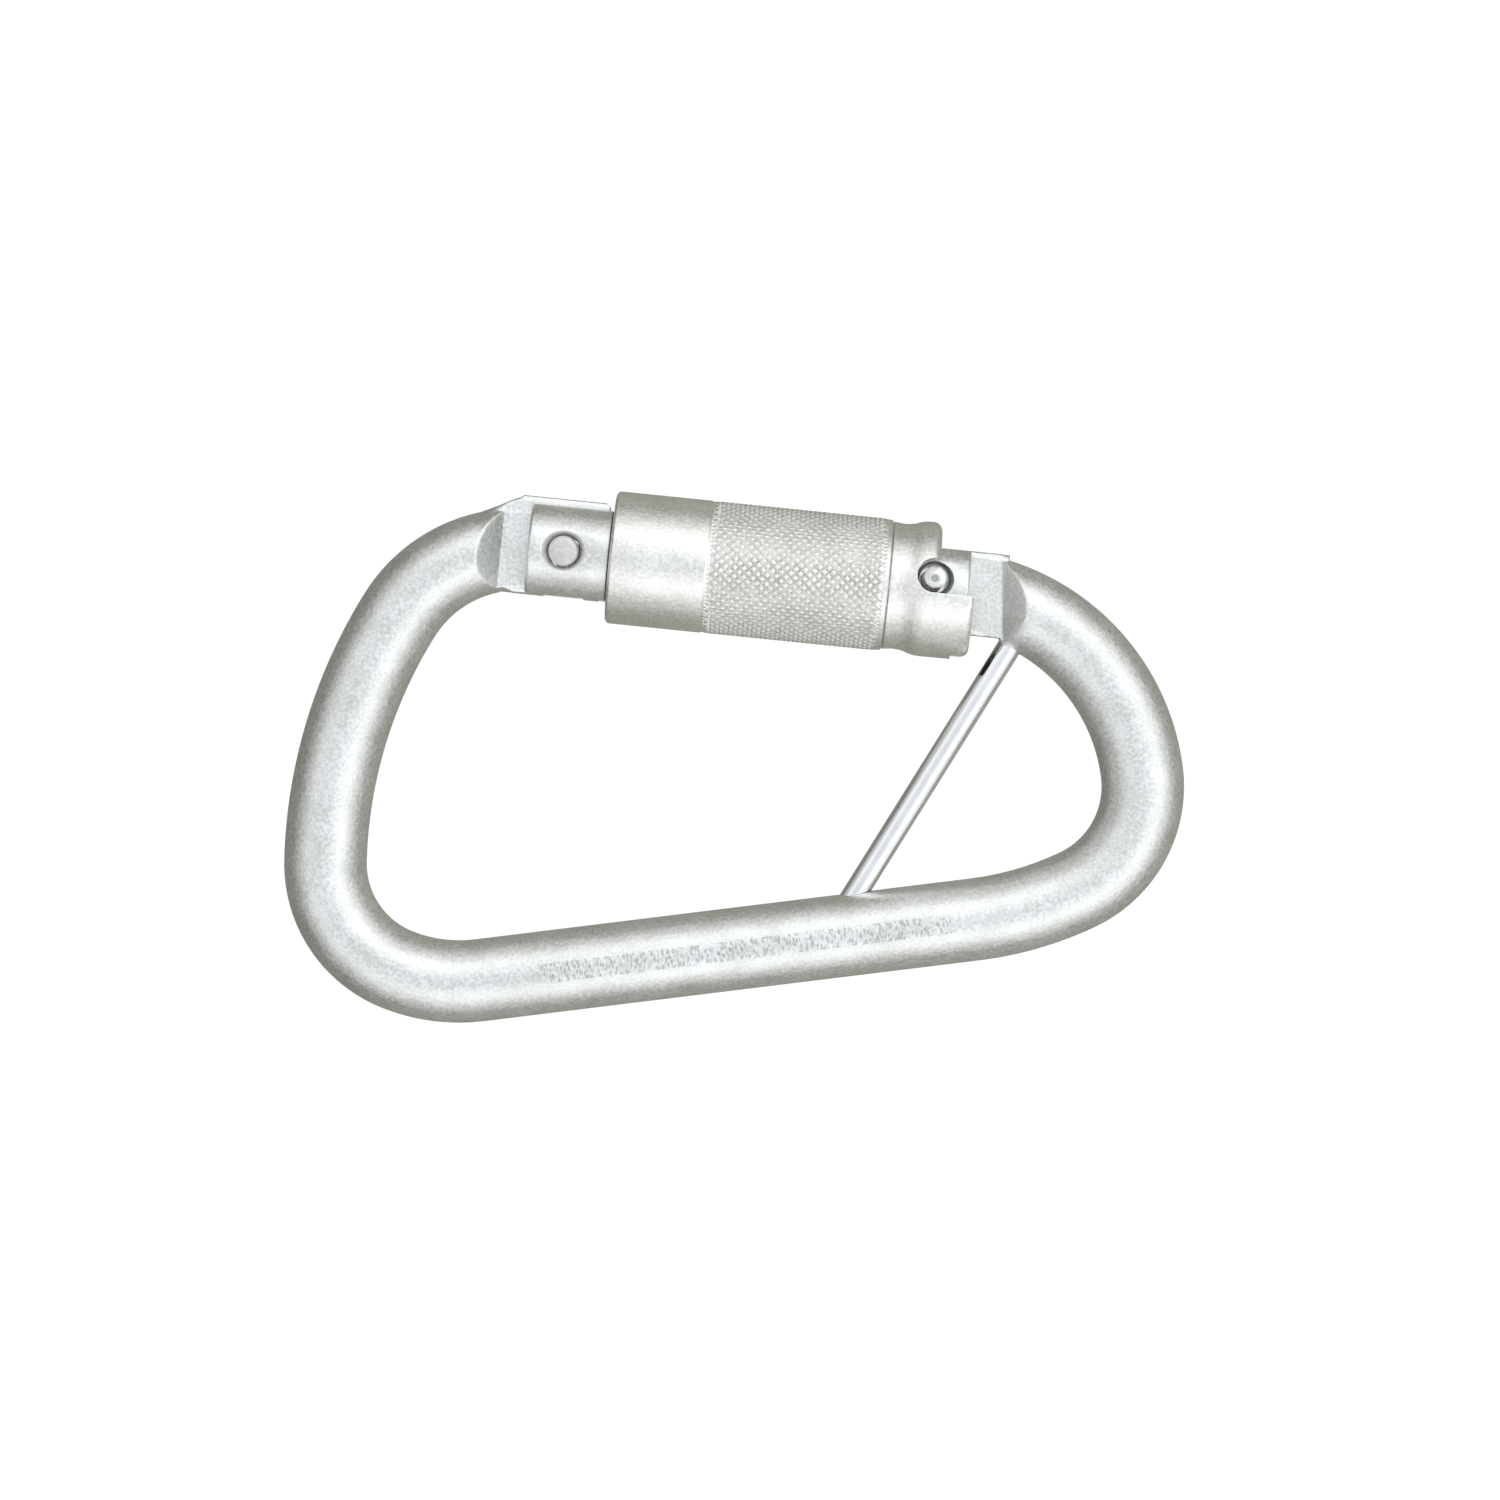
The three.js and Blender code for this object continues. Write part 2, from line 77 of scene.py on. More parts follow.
def mesh_object(
    name: str, vertices: Iterable[Sequence[float]], faces: Iterable[Sequence[int]]
) -> bpy.types.Object:
    """Makes an object from vertices and faces, with its faces turned outwards.

    Args:
        name: The object's name.
        vertices: Corner positions in millimetres.
        faces: Corner numbers of each face.

    Returns:
        The new object, linked to the scene.
    """
    mesh = bpy.data.meshes.new(name)
    mesh.from_pydata([tuple(map(float, v)) for v in vertices], [], [tuple(f) for f in faces])
    work = bmesh.new()
    work.from_mesh(mesh)
    bmesh.ops.recalc_face_normals(work, faces=work.faces)
    work.to_mesh(mesh)
    work.free()
    made = bpy.data.objects.new(name, mesh)
    bpy.context.scene.collection.objects.link(made)
    return made


def bridge(first: Ring, second: Ring) -> list[tuple[int, ...]]:
    """Returns the quads between two rings of the same count."""
    count = len(first)
    return [(first[i], first[(i + 1) % count], second[(i + 1) % count], second[i]) for i in range(count)]


def arc_points(centre: Point, radius: float, start: float, end: float, steps: int) -> list[Point]:
    """Points on an arc.

    Args:
        centre: The arc's centre.
        radius: The arc's radius.
        start: The first angle in degrees.
        end: The last angle in degrees.
        steps: The number of chords.

    Returns:
        The points from start to end, both included.
    """
    angles = np.radians(np.linspace(start, end, steps + 1))
    return [(centre[0] + radius * math.cos(a), centre[1] + radius * math.sin(a)) for a in angles]


def heel_points(pivot: Point, sweep: float) -> list[Point]:
    """The curve on the hinge tang that the plunger rides on.

    Args:
        pivot: The hinge's s and n.
        sweep: How far the gate swings along the curve, in degrees.

    Returns:
        The curve's points, from the gate's closed place on.
    """
    offset, first_reach = 1.9, 4.05
    points = []
    for angle in np.radians(np.linspace(0, sweep, 9)):
        reach = first_reach + offset * angle
        points.append((
            pivot[0] + offset * math.sin(angle) - reach * math.cos(angle),
            pivot[1] - reach * math.sin(angle) - offset * math.cos(angle),
        ))
    return points


def turned(name: str, profile: Sequence[Point], sides: int) -> bpy.types.Object:
    """Turns a profile about the gate axis.

    Args:
        name: The object's name.
        profile: (s, radius) pairs. It starts and ends on the axis, or is closed by its last edge.
        sides: The number of sides of the turned surface.

    Returns:
        The closed turned object.
    """
    vertices: list[Sequence[float]] = []
    rings: list[Ring] = []
    angles = np.linspace(0, 2 * math.pi, sides, endpoint=False)
    for s, radius in profile:
        if radius < 1e-6:
            rings.append([len(vertices)] * sides)
            vertices.append((s, 0, 0))
            continue
        rings.append(list(range(len(vertices), len(vertices) + sides)))
        vertices += [(s, radius * math.cos(a), radius * math.sin(a)) for a in angles]
    faces = []
    solid = profile[0][1] < 1e-6
    pairs = list(zip(rings, rings[1:])) + ([] if solid else [(rings[-1], rings[0])])
    for first, second in pairs:
        for quad in bridge(first, second):
            corners = tuple(dict.fromkeys(quad))
            if len(corners) > 2:
                faces.append(corners)
    return mesh_object(name, vertices, faces)


def prism(name: str, outline: Sequence[Point], z0: float, z1: float) -> bpy.types.Object:
    """Makes a straight prism on an (s, n) outline.

    Args:
        name: The object's name.
        outline: The outline's corners in order.
        z0: The lower height.
        z1: The upper height.

    Returns:
        The closed prism.
    """
    count = len(outline)
    vertices = [(x, y, z0) for x, y in outline] + [(x, y, z1) for x, y in outline]
    low, high = list(range(count)), list(range(count, 2 * count))
    return mesh_object(name, vertices, [tuple(low), tuple(high), *bridge(low, high)])


def rod(
    name: str,
    radius: float,
    start: Sequence[float],
    end: Sequence[float],
    end_radius: float = 0,
    sides: int = 64,
) -> bpy.types.Object:
    """Makes a round cutter between two points, tapered if it is given a second radius.

    Args:
        name: The object's name.
        radius: The radius at the start.
        start: The middle of one end.
        end: The middle of the other end.
        end_radius: The radius at the end, or 0 for the same all along.
        sides: The number of sides.

    Returns:
        The closed cutter.
    """
    a, b = Vector(start), Vector(end)
    turn = (b - a).to_track_quat("Z", "Y")
    vertices = []
    for base, reach in ((a, radius), (b, end_radius or radius)):
        for i in range(sides):
            angle = 2 * math.pi * i / sides
            vertices.append(base + turn @ Vector((reach * math.cos(angle), reach * math.sin(angle), 0)))
    low, high = list(range(sides)), list(range(sides, 2 * sides))
    return mesh_object(name, vertices, [tuple(low), tuple(high), *bridge(low, high)])


def swept_wire(name: str, points: np.ndarray, radius: float, sides: int = 16) -> bpy.types.Object:
    """Sweeps a round wire along points, with flat ends.

    Args:
        name: The object's name.
        points: The wire's centreline, one row each.
        radius: The wire's radius.
        sides: The number of sides of the wire.

    Returns:
        The closed wire.
    """
    tangents = np.gradient(points, axis=0)
    tangents /= np.linalg.norm(tangents, axis=1)[:, None]
    normal = np.cross(tangents[0], (1.0, 0.0, 0.0))
    vertices: list[np.ndarray] = []
    rings: list[Ring] = []
    for point, tangent in zip(points, tangents):
        normal = normal - tangent * np.dot(normal, tangent)
        normal /= np.linalg.norm(normal)
        side = np.cross(tangent, normal)
        rings.append(list(range(len(vertices), len(vertices) + sides)))
        for i in range(sides):
            angle = 2 * math.pi * i / sides
            vertices.append(point + radius * (math.cos(angle) * normal + math.sin(angle) * side))
    faces = [quad for a, b in zip(rings, rings[1:]) for quad in bridge(a, b)]
    return mesh_object(name, vertices, [*faces, tuple(rings[0]), tuple(rings[-1])])


def cut(target: bpy.types.Object, tool: bpy.types.Object, operation: str = "DIFFERENCE") -> None:
    """Joins or cuts an object with a tool, which is used up.

    Args:
        target: The object that is changed.
        tool: The object that cuts it or joins it.
        operation: DIFFERENCE, UNION or INTERSECT.
    """
    modifier = target.modifiers.new("cut", "BOOLEAN")
    modifier.operation = operation
    modifier.solver = "EXACT"
    modifier.object = tool
    apply_modifiers(target)
    bpy.data.objects.remove(tool, do_unlink=True)


def apply_modifiers(target: bpy.types.Object) -> None:
    """Bakes an object's modifiers into its mesh.

    Args:
        target: The object that is changed.
    """
    bpy.context.view_layer.update()
    graph = bpy.context.evaluated_depsgraph_get()
    mesh = bpy.data.meshes.new_from_object(target.evaluated_get(graph))
    target.modifiers.clear()
    target.data = mesh


def break_edges(target: bpy.types.Object, width: float, angle: float = 35) -> None:
    """Takes the sharpness off an object's edges, as tumbling before plating does.

    Args:
        target: The object that is changed.
        width: The width of the broken edge in millimetres.
        angle: Edges sharper than this many degrees are broken.
    """
    work = bmesh.new()
    work.from_mesh(target.data)
    bmesh.ops.remove_doubles(work, verts=work.verts, dist=0.004)
    bmesh.ops.dissolve_degenerate(work, edges=work.edges, dist=0.004)
    work.to_mesh(target.data)
    work.free()
    modifier = target.modifiers.new("edge", "BEVEL")
    modifier.width = width
    modifier.segments = 2
    modifier.limit_method = "ANGLE"
    modifier.angle_limit = math.radians(angle)
    modifier.use_clamp_overlap = True
    apply_modifiers(target)


def shade(target: bpy.types.Object, angle: float = 30) -> None:
    """Shades an object smooth and leaves its sharp edges crisp.

    Args:
        target: The object that is shaded.
        angle: Edges sharper than this many degrees stay crisp.
    """
    mesh = target.data
    mesh.shade_smooth()
    mesh.set_sharp_from_angle(angle=math.radians(angle))


# ---------------------------------------------------------------- Places in the frame


@dataclass(frozen=True)
class GateAxes:
    """Where the gate lies in the frame, read from its joints."""

    origin: Vector
    along: Vector
    pivot: Vector

    @classmethod
    def from_joints(cls, joints: Iterable[dict]) -> "GateAxes":
        """Reads the gate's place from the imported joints.

        Args:
            joints: The joints, each with its name, place and axis.

        Returns:
            The gate's axes.
        """
        by_name = {joint["name"]: joint for joint in joints}
        twist, hinge = by_name["sleeve_twist"], by_name["gate_pivot"]
        return cls(Vector(twist["pos_m"]), Vector(twist["axis"]).normalized(), Vector(hinge["pos_m"]))

    @property
    def matrix(self) -> Matrix:
        """Takes (s, n, z) in millimetres to the frame in metres.

        Returns:
            The matrix that does it.
        """
        across = Vector((0, 0, 1)).cross(self.along)
        turn = Matrix((self.along, across, Vector((0, 0, 1)))).transposed().to_4x4()
        return Matrix.Translation(self.origin) @ turn @ Matrix.Scale(MM, 4)

    @property
    def pivot_sn(self) -> Point:
        """The pivot's s and n in millimetres."""
        local = self.matrix.inverted() @ self.pivot
        return local.x, local.y

    def to_frame(self, s: float, n: float, z: float = 0) -> Vector:
        """Takes one point to the frame."""
        return self.matrix @ Vector((s, n, z))


class Body(Enum):
    """The moving bodies that pieces ride on."""

    FRAME = "root"
    GATE = "gate"
    PLUNGER = "plunger"
    CARRIER = "sleeve_carrier"
    SLEEVE = "sleeve"


# ---------------------------------------------------------------- Finishes


class NodeBench:
    """A material's node tree, with short ways to add and join nodes."""

    def __init__(self, name: str) -> None:
        """Starts an empty material with a shader and an output.

        Args:
            name: The material's name.
        """
        self.material = bpy.data.materials.new(name)
        self.material.use_nodes = True
        self.tree = self.material.node_tree
        self.tree.nodes.clear()
        self.output = self.tree.nodes.new("ShaderNodeOutputMaterial")
        self.shader = self.tree.nodes.new("ShaderNodeBsdfPrincipled")
        self.join(self.shader, "BSDF", self.output, "Surface")
        self.place = self.tree.nodes.new("ShaderNodeTexCoord").outputs["Object"]

    def join(self, source: bpy.types.Node, out: str, target: bpy.types.Node, into: str) -> None:
        """Links one node's output to another's input."""
        self.tree.links.new(source.outputs[out], target.inputs[into])

    def node(self, kind: str, inputs: dict | None = None, **settings: object) -> bpy.types.Node:
        """Adds a node.

        Args:
            kind: The node's type name.
            inputs: Input values or sockets to link, by name or number.
            **settings: Attributes set on the node.

        Returns:
            The new node.
        """
        made = self.tree.nodes.new(kind)
        for key, value in settings.items():
            setattr(made, key, value)
        for key, value in (inputs or {}).items():
            if isinstance(value, bpy.types.NodeSocket):
                self.tree.links.new(value, made.inputs[key])
            else:
                made.inputs[key].default_value = value
        return made

    def noise(self, scale: float, detail: float = 3) -> bpy.types.NodeSocket:
        """Adds cloudy noise, with its scale in features per metre."""
        made = self.node("ShaderNodeTexNoise", {"Vector": self.place, "Scale": scale, "Detail": detail})
        return made.outputs["Fac"]

    def stretched(self, scale: Sequence[float], turn: float = 0) -> bpy.types.NodeSocket:
        """Adds a place that is turned about Z and then scaled unevenly.

        Args:
            scale: The scale along each axis.
            turn: The turn in degrees.

        Returns:
            The new place.
        """
        turned_place = self.node(
            "ShaderNodeMapping", {"Vector": self.place, "Rotation": (0, 0, math.radians(turn))}
        )
        made = self.node("ShaderNodeMapping", {"Vector": turned_place.outputs[0], "Scale": tuple(scale)})
        return made.outputs[0]

    def spread(
        self, value: bpy.types.NodeSocket, low: float, high: float, start: float = 0.3, end: float = 0.7
    ) -> bpy.types.NodeSocket:
        """Maps one run of values onto another.

        Args:
            value: The value that is mapped.
            low: What the start becomes.
            high: What the end becomes.
            start: Where the run starts.
            end: Where the run ends.

        Returns:
            The mapped value.
        """
        made = self.node(
            "ShaderNodeMapRange",
            {"Value": value, "From Min": start, "From Max": end, "To Min": low, "To Max": high},
        )
        return made.outputs[0]

    def maths(self, operation: str, a: object, b: object = 0.0) -> bpy.types.NodeSocket:
        """Adds a math node on two values or sockets."""
        return self.node("ShaderNodeMath", {0: a, 1: b}, operation=operation).outputs[0]

    def tint(
        self, factor: bpy.types.NodeSocket, first: Sequence[float], second: Sequence[float]
    ) -> bpy.types.NodeSocket:
        """Mixes two colours.

        Args:
            factor: 0 for the first colour, 1 for the second.
            first: The first colour.
            second: The second colour.

        Returns:
            The mixed colour.
        """
        made = self.node("ShaderNodeMix", data_type="RGBA")
        self.tree.links.new(factor, made.inputs[0])
        made.inputs[6].default_value = (*first, 1)
        made.inputs[7].default_value = (*second, 1)
        return made.outputs[2]

    def bumps(self, *layers: tuple[bpy.types.NodeSocket, float]) -> None:
        """Stacks bump layers onto the shader.

        Args:
            *layers: Each layer's height and its depth in metres.
        """
        normal: bpy.types.NodeSocket | None = None
        for height, depth in layers:
            inputs = {"Height": height, "Distance": depth, "Strength": 1.0}
            if normal:
                inputs["Normal"] = normal
            normal = self.node("ShaderNodeBump", inputs).outputs[0]
        self.tree.links.new(normal, self.shader.inputs["Normal"])


@dataclass(frozen=True)
class MarkStrip:
    """A plain stippled strip stamped on the spine, from one end to the other."""

    start: tuple[float, float]
    end: tuple[float, float]
    width: float
    floor: float

    def mask(self, bench: NodeBench) -> bpy.types.NodeSocket:
        """Returns where the strip's stipples are, from 0 to 1.

        Args:
            bench: The material that the strip is on.

        Returns:
            A socket that is 1 inside a stipple.
        """
        a, b = Vector(self.start), Vector(self.end)
        angle = math.degrees(math.atan2(b.y - a.y, b.x - a.x))
        middle = (a + b) / 2
        centred = bench.node(
            "ShaderNodeVectorMath", {0: bench.place, 1: (-middle.x, -middle.y, -self.floor)}, operation="ADD"
        )
        straight = bench.node(
            "ShaderNodeMapping", {"Vector": centred.outputs[0], "Rotation": (0, 0, math.radians(-angle))}
        ).outputs[0]
        axes = bench.node("ShaderNodeSeparateXYZ", {0: straight})
        inside = bench.maths("LESS_THAN", bench.maths("ABSOLUTE", axes.outputs[0]), (b - a).length / 2)
        beside = bench.maths("LESS_THAN", bench.maths("ABSOLUTE", axes.outputs[1]), self.width / 2)
        above = bench.maths("GREATER_THAN", axes.outputs[2], 0.0)
        zone = bench.maths("MULTIPLY", bench.maths("MULTIPLY", inside, beside), above)
        cells = bench.node(
            "ShaderNodeMapping", {"Vector": straight, "Scale": (2900.0, 1250.0, 0.0)}
        ).outputs[0]
        dots = bench.node("ShaderNodeTexVoronoi", {"Vector": cells, "Scale": 1.0}, feature="F1")
        return bench.maths("MULTIPLY", zone, bench.spread(dots.outputs["Distance"], 1.0, 0.0, 0.3, 0.55))


@dataclass(frozen=True)
class ZincPlate:
    """Satin zinc plate on forged or turned steel: pale, a little blue, with fine grain."""

    name: str
    light: tuple[float, float, float] = (0.85, 0.86, 0.85)
    dark: tuple[float, float, float] = (0.67, 0.675, 0.65)
    roughness: float = 0.36
    grain: float = 1.0
    strip: MarkStrip | None = None

    def make(self) -> bpy.types.Material:
        """Builds the material.

        Returns:
            The material, with all its nodes.
        """
        bench = NodeBench(self.name)
        cloud = bench.noise(260, 4)
        speckle = bench.noise(2600, 5)
        patch = bench.maths("ADD", bench.maths("MULTIPLY", cloud, 0.3), bench.maths("MULTIPLY", speckle, 0.7))
        colour = bench.tint(bench.spread(patch, 0, 1, 0.4, 0.6), self.dark, self.light)
        rough = bench.spread(speckle, self.roughness - 0.06, self.roughness + 0.1)
        layers = [(speckle, 0.000034 * self.grain), (bench.noise(900, 3), 0.000028 * self.grain)]
        if self.strip:
            stipple = self.strip.mask(bench)
            worn = bench.node("ShaderNodeMix", data_type="RGBA", blend_type="MULTIPLY")
            bench.tree.links.new(stipple, worn.inputs[0])
            bench.tree.links.new(colour, worn.inputs[6])
            worn.inputs[7].default_value = (0.7, 0.71, 0.71, 1)
            colour = worn.outputs[2]
            layers.append((bench.maths("MULTIPLY", stipple, -1.0), 0.00005))
        bench.tree.links.new(colour, bench.shader.inputs["Base Color"])
        bench.tree.links.new(rough, bench.shader.inputs["Roughness"])
        bench.shader.inputs["Metallic"].default_value = 1.0
        bench.bumps(*layers)
        return bench.material


@dataclass(frozen=True)
class CutSteel:
    """Steel with the fine straight lines of a milling or turning tool."""

    name: str
    light: tuple[float, float, float] = (0.97, 0.955, 0.93)
    dark: tuple[float, float, float] = (0.80, 0.79, 0.765)
    roughness: float = 0.3
    lines: tuple[float, float, float] = (9000.0, 260.0, 9000.0)
    turn: float = 0.0
    depth: float = 0.000006

    def make(self) -> bpy.types.Material:
        """Builds the material.

        Returns:
            The material, with all its nodes.
        """
        bench = NodeBench(self.name)
        place = bench.stretched(self.lines, self.turn)
        drawn = bench.node("ShaderNodeTexNoise", {"Vector": place, "Scale": 1.0, "Detail": 3.0})
        scratch = drawn.outputs["Fac"]
        cloud = bench.noise(420, 3)
        tone = bench.maths("ADD", bench.maths("MULTIPLY", scratch, 0.6), bench.maths("MULTIPLY", cloud, 0.4))
        colour = bench.tint(bench.spread(tone, 0, 1), self.dark, self.light)
        bench.tree.links.new(colour, bench.shader.inputs["Base Color"])
        rough = bench.spread(scratch, self.roughness - 0.05, self.roughness + 0.08)
        bench.tree.links.new(rough, bench.shader.inputs["Roughness"])
        bench.shader.inputs["Metallic"].default_value = 1.0
        bench.bumps((scratch, self.depth), (cloud, self.depth))
        return bench.material


SLEEVE_ZINC = ZincPlate("sleeve_zinc", light=(0.92, 0.915, 0.89), dark=(0.75, 0.745, 0.71), roughness=0.34)
WIRE = CutSteel(
    "drawn_wire", light=(0.56, 0.565, 0.57), dark=(0.40, 0.405, 0.41), lines=(900, 900, 900), roughness=0.3
)
RIVET_STEEL = CutSteel(
    "rivet_steel", light=(0.88, 0.88, 0.87), dark=(0.72, 0.72, 0.71), lines=(1800, 1800, 1800), roughness=0.28
)


class Slot(Enum):
    """The record's material slots."""

    ZINC = "zinc_plated_steel"
    CUT = "machined_steel"
    POLISHED = "polished_steel"
    SPRING = "spring_steel"


class Dresser:
    """Sets finished pieces into the frame, dresses them and reports them."""

    def __init__(self, axes: GateAxes) -> None:
        """Keeps the gate's place and makes each finish once."""
        self.axes = axes
        self.made: dict[str, bpy.types.Material] = {}

    def finish(self, kind: ZincPlate | CutSteel) -> bpy.types.Material:
        """Gives the material of a finish, which is made the first time it is asked for.

        Args:
            kind: The finish.

        Returns:
            Its material.
        """
        if kind.name not in self.made:
            self.made[kind.name] = kind.make()
        return self.made[kind.name]

    def set_down(
        self,
        piece: bpy.types.Object,
        body: Body,
        nodes: Sequence[str],
        finishes: Sequence[ZincPlate | CutSteel],
    ) -> None:
        """Moves a piece from the gate's millimetres to the frame and hands it to its body.

        Args:
            piece: The finished mesh.
            body: The body that it rides on.
            nodes: The nodes of the frame that it stands for.
            finishes: Its finishes, in the order of the mesh's material numbers.
        """
        piece.data.transform(self.axes.matrix)
        piece.data.materials.clear()
        for kind in finishes:
            piece.data.materials.append(self.finish(kind))
        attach(piece, body.value)
        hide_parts(*nodes)
        log.info("%s: %d faces, on %s", piece.name, len(piece.data.polygons), body.value)


# ---------------------------------------------------------------- Forged bar


@dataclass(frozen=True)
class Stretch:
    """One stretch of the bar: straight over a run, or bent anticlockwise."""

    run: float = 0.0
    radius: float = 0.0
    turn: float = 0.0

    @property
    def length(self) -> float:
        """The stretch's true length."""
        return self.run or self.radius * math.radians(self.turn)


@dataclass
class ForgedBar:
    """The bent bar with its two milled tangs."""

    axes: GateAxes
    radius: float = 5.03
    start_drop: float = 0.15
    tang_half: float = 2.2
    nose_tip: float = 5.0
    nose_shoulder: float = -7.7
    hinge_shoulder: float = 32.63
    hinge_end: float = 40.95
    undercut_end: float = 53.8
    sides: int = 192
    softness: float = 0.12
    squareness: float = 12.0
    route: tuple[Stretch, ...] = (
        Stretch(run=4.1),
        Stretch(radius=16.9, turn=63.7),
        Stretch(radius=59.6, turn=30.5),
        Stretch(radius=13.9, turn=69.5),
        Stretch(radius=20.3, turn=29.1),
        Stretch(run=60.8),
        Stretch(radius=41.2, turn=18.3),
        Stretch(radius=13.9, turn=72.1),
        Stretch(radius=25.4, turn=76.8),
    )

    def centre(self, distance: float) -> tuple[np.ndarray, np.ndarray]:
        """The bar's centre and its outward direction at a distance from the latch pin.

        Args:
            distance: The distance along the bar, negative towards the nose's tip.

        Returns:
            The (s, n) of the centre, and the unit direction out of the carabiner.
        """
        at = np.array([0.0, -self.start_drop])
        heading = math.pi
        for stretch in self.route:
            step = min(distance, stretch.length)
            if stretch.run or distance < 0:
                at = at + step * np.array([math.cos(heading), math.sin(heading)])
            else:
                end = heading + step / stretch.radius
                at = at + stretch.radius * np.array(
                    [math.sin(end) - math.sin(heading), math.cos(heading) - math.cos(end)]
                )
                heading = end
            distance -= stretch.length
            if distance <= 0:
                break
        else:
            at = at + distance * np.array([math.cos(heading), math.sin(heading)])
        return at, np.array([math.sin(heading), -math.cos(heading)])

    @property
    def length(self) -> float:
        """The bar's length along the route."""
        return sum(stretch.length for stretch in self.route)

    def stations(self) -> np.ndarray:
        """Places the bar's sections, close together where it is milled.

        Returns:
            The distances along the bar.
        """
        fine, coarse = 0.13, 0.9
        tail = self.centre(self.length)[0][0] - self.hinge_end
        return np.concatenate([
            np.arange(-self.nose_tip, 13, fine),
            np.arange(13, self.length - 9, coarse),
            np.arange(self.length - 9, self.length + tail, fine),
            [self.length + tail],
        ])

    def nose_reach(self, centre: np.ndarray, outward: np.ndarray) -> tuple[float, float]:
        """How far the nose tang reaches from the bar's centre.

        Args:
            centre: The (s, n) of the bar's centre.
            outward: The unit direction out of the carabiner.

        Returns:
            The reach outwards and the reach inwards.
        """
        corner, foot = np.array([-5.6, 6.3]), np.array([-12.0, 3.25])
        slope = foot - corner
        gap = corner - centre
        crossing = outward[0] * slope[1] - outward[1] * slope[0]
        out = (gap[0] * slope[1] - gap[1] * slope[0]) / crossing
        hit = centre + out * outward
        if hit[0] > corner[0]:
            out = (6.4 - centre[1]) / outward[1]
        elif hit[0] < foot[0]:
            out = self.radius
        inward = (centre[1] + 5.55) / outward[1]
        if centre[0] - inward * outward[0] < -8.2:
            inward = self.radius
        return out, inward

    def section(self, distance: float, angles: np.ndarray) -> np.ndarray:
        """One section of the bar.

        Args:
            distance: Where it is along the bar.
            angles: The angles of its corners, from outwards towards +z.

        Returns:
            The corners as (s, n, z) rows.
        """
        centre, outward = self.centre(distance)
        cosine, sine = np.cos(angles), np.sin(angles)
        reach = np.full(len(angles), self.radius)
        near_nose = distance < 14
        near_hinge = distance > self.length - 10
        if near_nose or near_hinge:
            out, inward = self.nose_reach(centre, outward) if near_nose else (5.1, 5.1)
            if near_hinge:
                out = (5.1 - centre[1]) / outward[1] if centre[0] < 53 else self.radius
            width = np.where(cosine > 0, out, inward)
            power = self.squareness
            flat = (np.abs(cosine / width) ** power + np.abs(sine / self.tang_half) ** power) ** (-1 / power)
            swelled = ((cosine / width) ** 2 + (sine / self.radius) ** 2) ** -0.5
            forged = self.forged_share(distance)
            reach = (1 - forged) * np.maximum(reach, flat) + forged * np.maximum(reach, swelled)
        corners = np.empty((len(angles), 3))
        corners[:, :2] = centre + np.outer(reach * cosine, outward)
        corners[:, 2] = reach * sine
        if near_nose:
            self.mill_nose(corners)
        elif distance > self.length - 34:
            self.mill_hinge(corners)
        return corners

    def forged_share(self, distance: float) -> float:
        """How far a section is left as forged.

        Args:
            distance: Where it is along the bar.

        Returns:
            0 in the square tangs, 1 in the round bar.
        """
        if distance < 14:
            share = (distance - 6.3) / 2.4
        else:
            share = (self.length - 3.6 - distance) / 2.6
        share = min(max(share, 0.0), 1.0)
        return share * share * (3 - 2 * share)

    def mill_nose(self, corners: np.ndarray) -> None:
        """Holds the nose's corners under its sloping flats and inside its tip.

        Args:
            corners: The (s, n, z) rows, which are changed.
        """
        limit = self.tang_half + np.maximum(0, self.nose_shoulder - corners[:, 0])
        self.press(corners, limit)
        tip = np.interp(corners[:, 0], [4.5, 5.0], [0.0, 0.45])
        low = np.where(corners[:, 0] > -7.5, -5.55 + tip, -99.0)
        corners[:, 1] = np.clip(corners[:, 1], low, 6.45 - tip)

    def mill_hinge(self, corners: np.ndarray) -> None:
        """Holds the hinge's corners under its sloping flats and inside its outline.

        Args:
            corners: The (s, n, z) rows, which are changed.
        """
        cosine, sine = self.axes.along.x, -self.axes.along.y
        x = self.axes.origin.x / MM + corners[:, 0] * cosine + corners[:, 1] * sine
        self.press(corners, self.tang_half + np.maximum(0, x - self.hinge_shoulder))
        pivot_s, pivot_n = self.axes.pivot_sn
        s = corners[:, 0]
        crown = np.sqrt(np.maximum(3.9**2 - np.minimum(s - pivot_s, 0) ** 2, 0)) + pivot_n
        top = np.where(s > pivot_s - 3.37, crown, np.interp(s, [40.95, 41.63], [0.8, 3.15]))
        heel = heel_points((pivot_s, pivot_n), 31)
        edge = [*heel, (42.1, -4.2), (43.4, -5.1), (self.undercut_end, -5.1), (self.undercut_end + 0.3, -7.0)]
        low = np.interp(s, [at for at, _ in edge], [level + 0.03 for _, level in edge])
        low = np.where(s > self.undercut_end + 0.3, -99.0, low)
        corners[:, 1] = np.clip(corners[:, 1], low, np.where(s > 50, 9, top))

    def press(self, corners: np.ndarray, limit: np.ndarray) -> None:
        """Presses corners softly under a height limit on both faces.

        Args:
            corners: The (s, n, z) rows, which are changed.
            limit: The greatest height of each row.
        """
        height = np.abs(corners[:, 2])
        soft = 0.5 * (height + limit - np.sqrt((height - limit) ** 2 + self.softness**2))
        corners[:, 2] = np.sign(corners[:, 2]) * np.maximum(soft, 0)

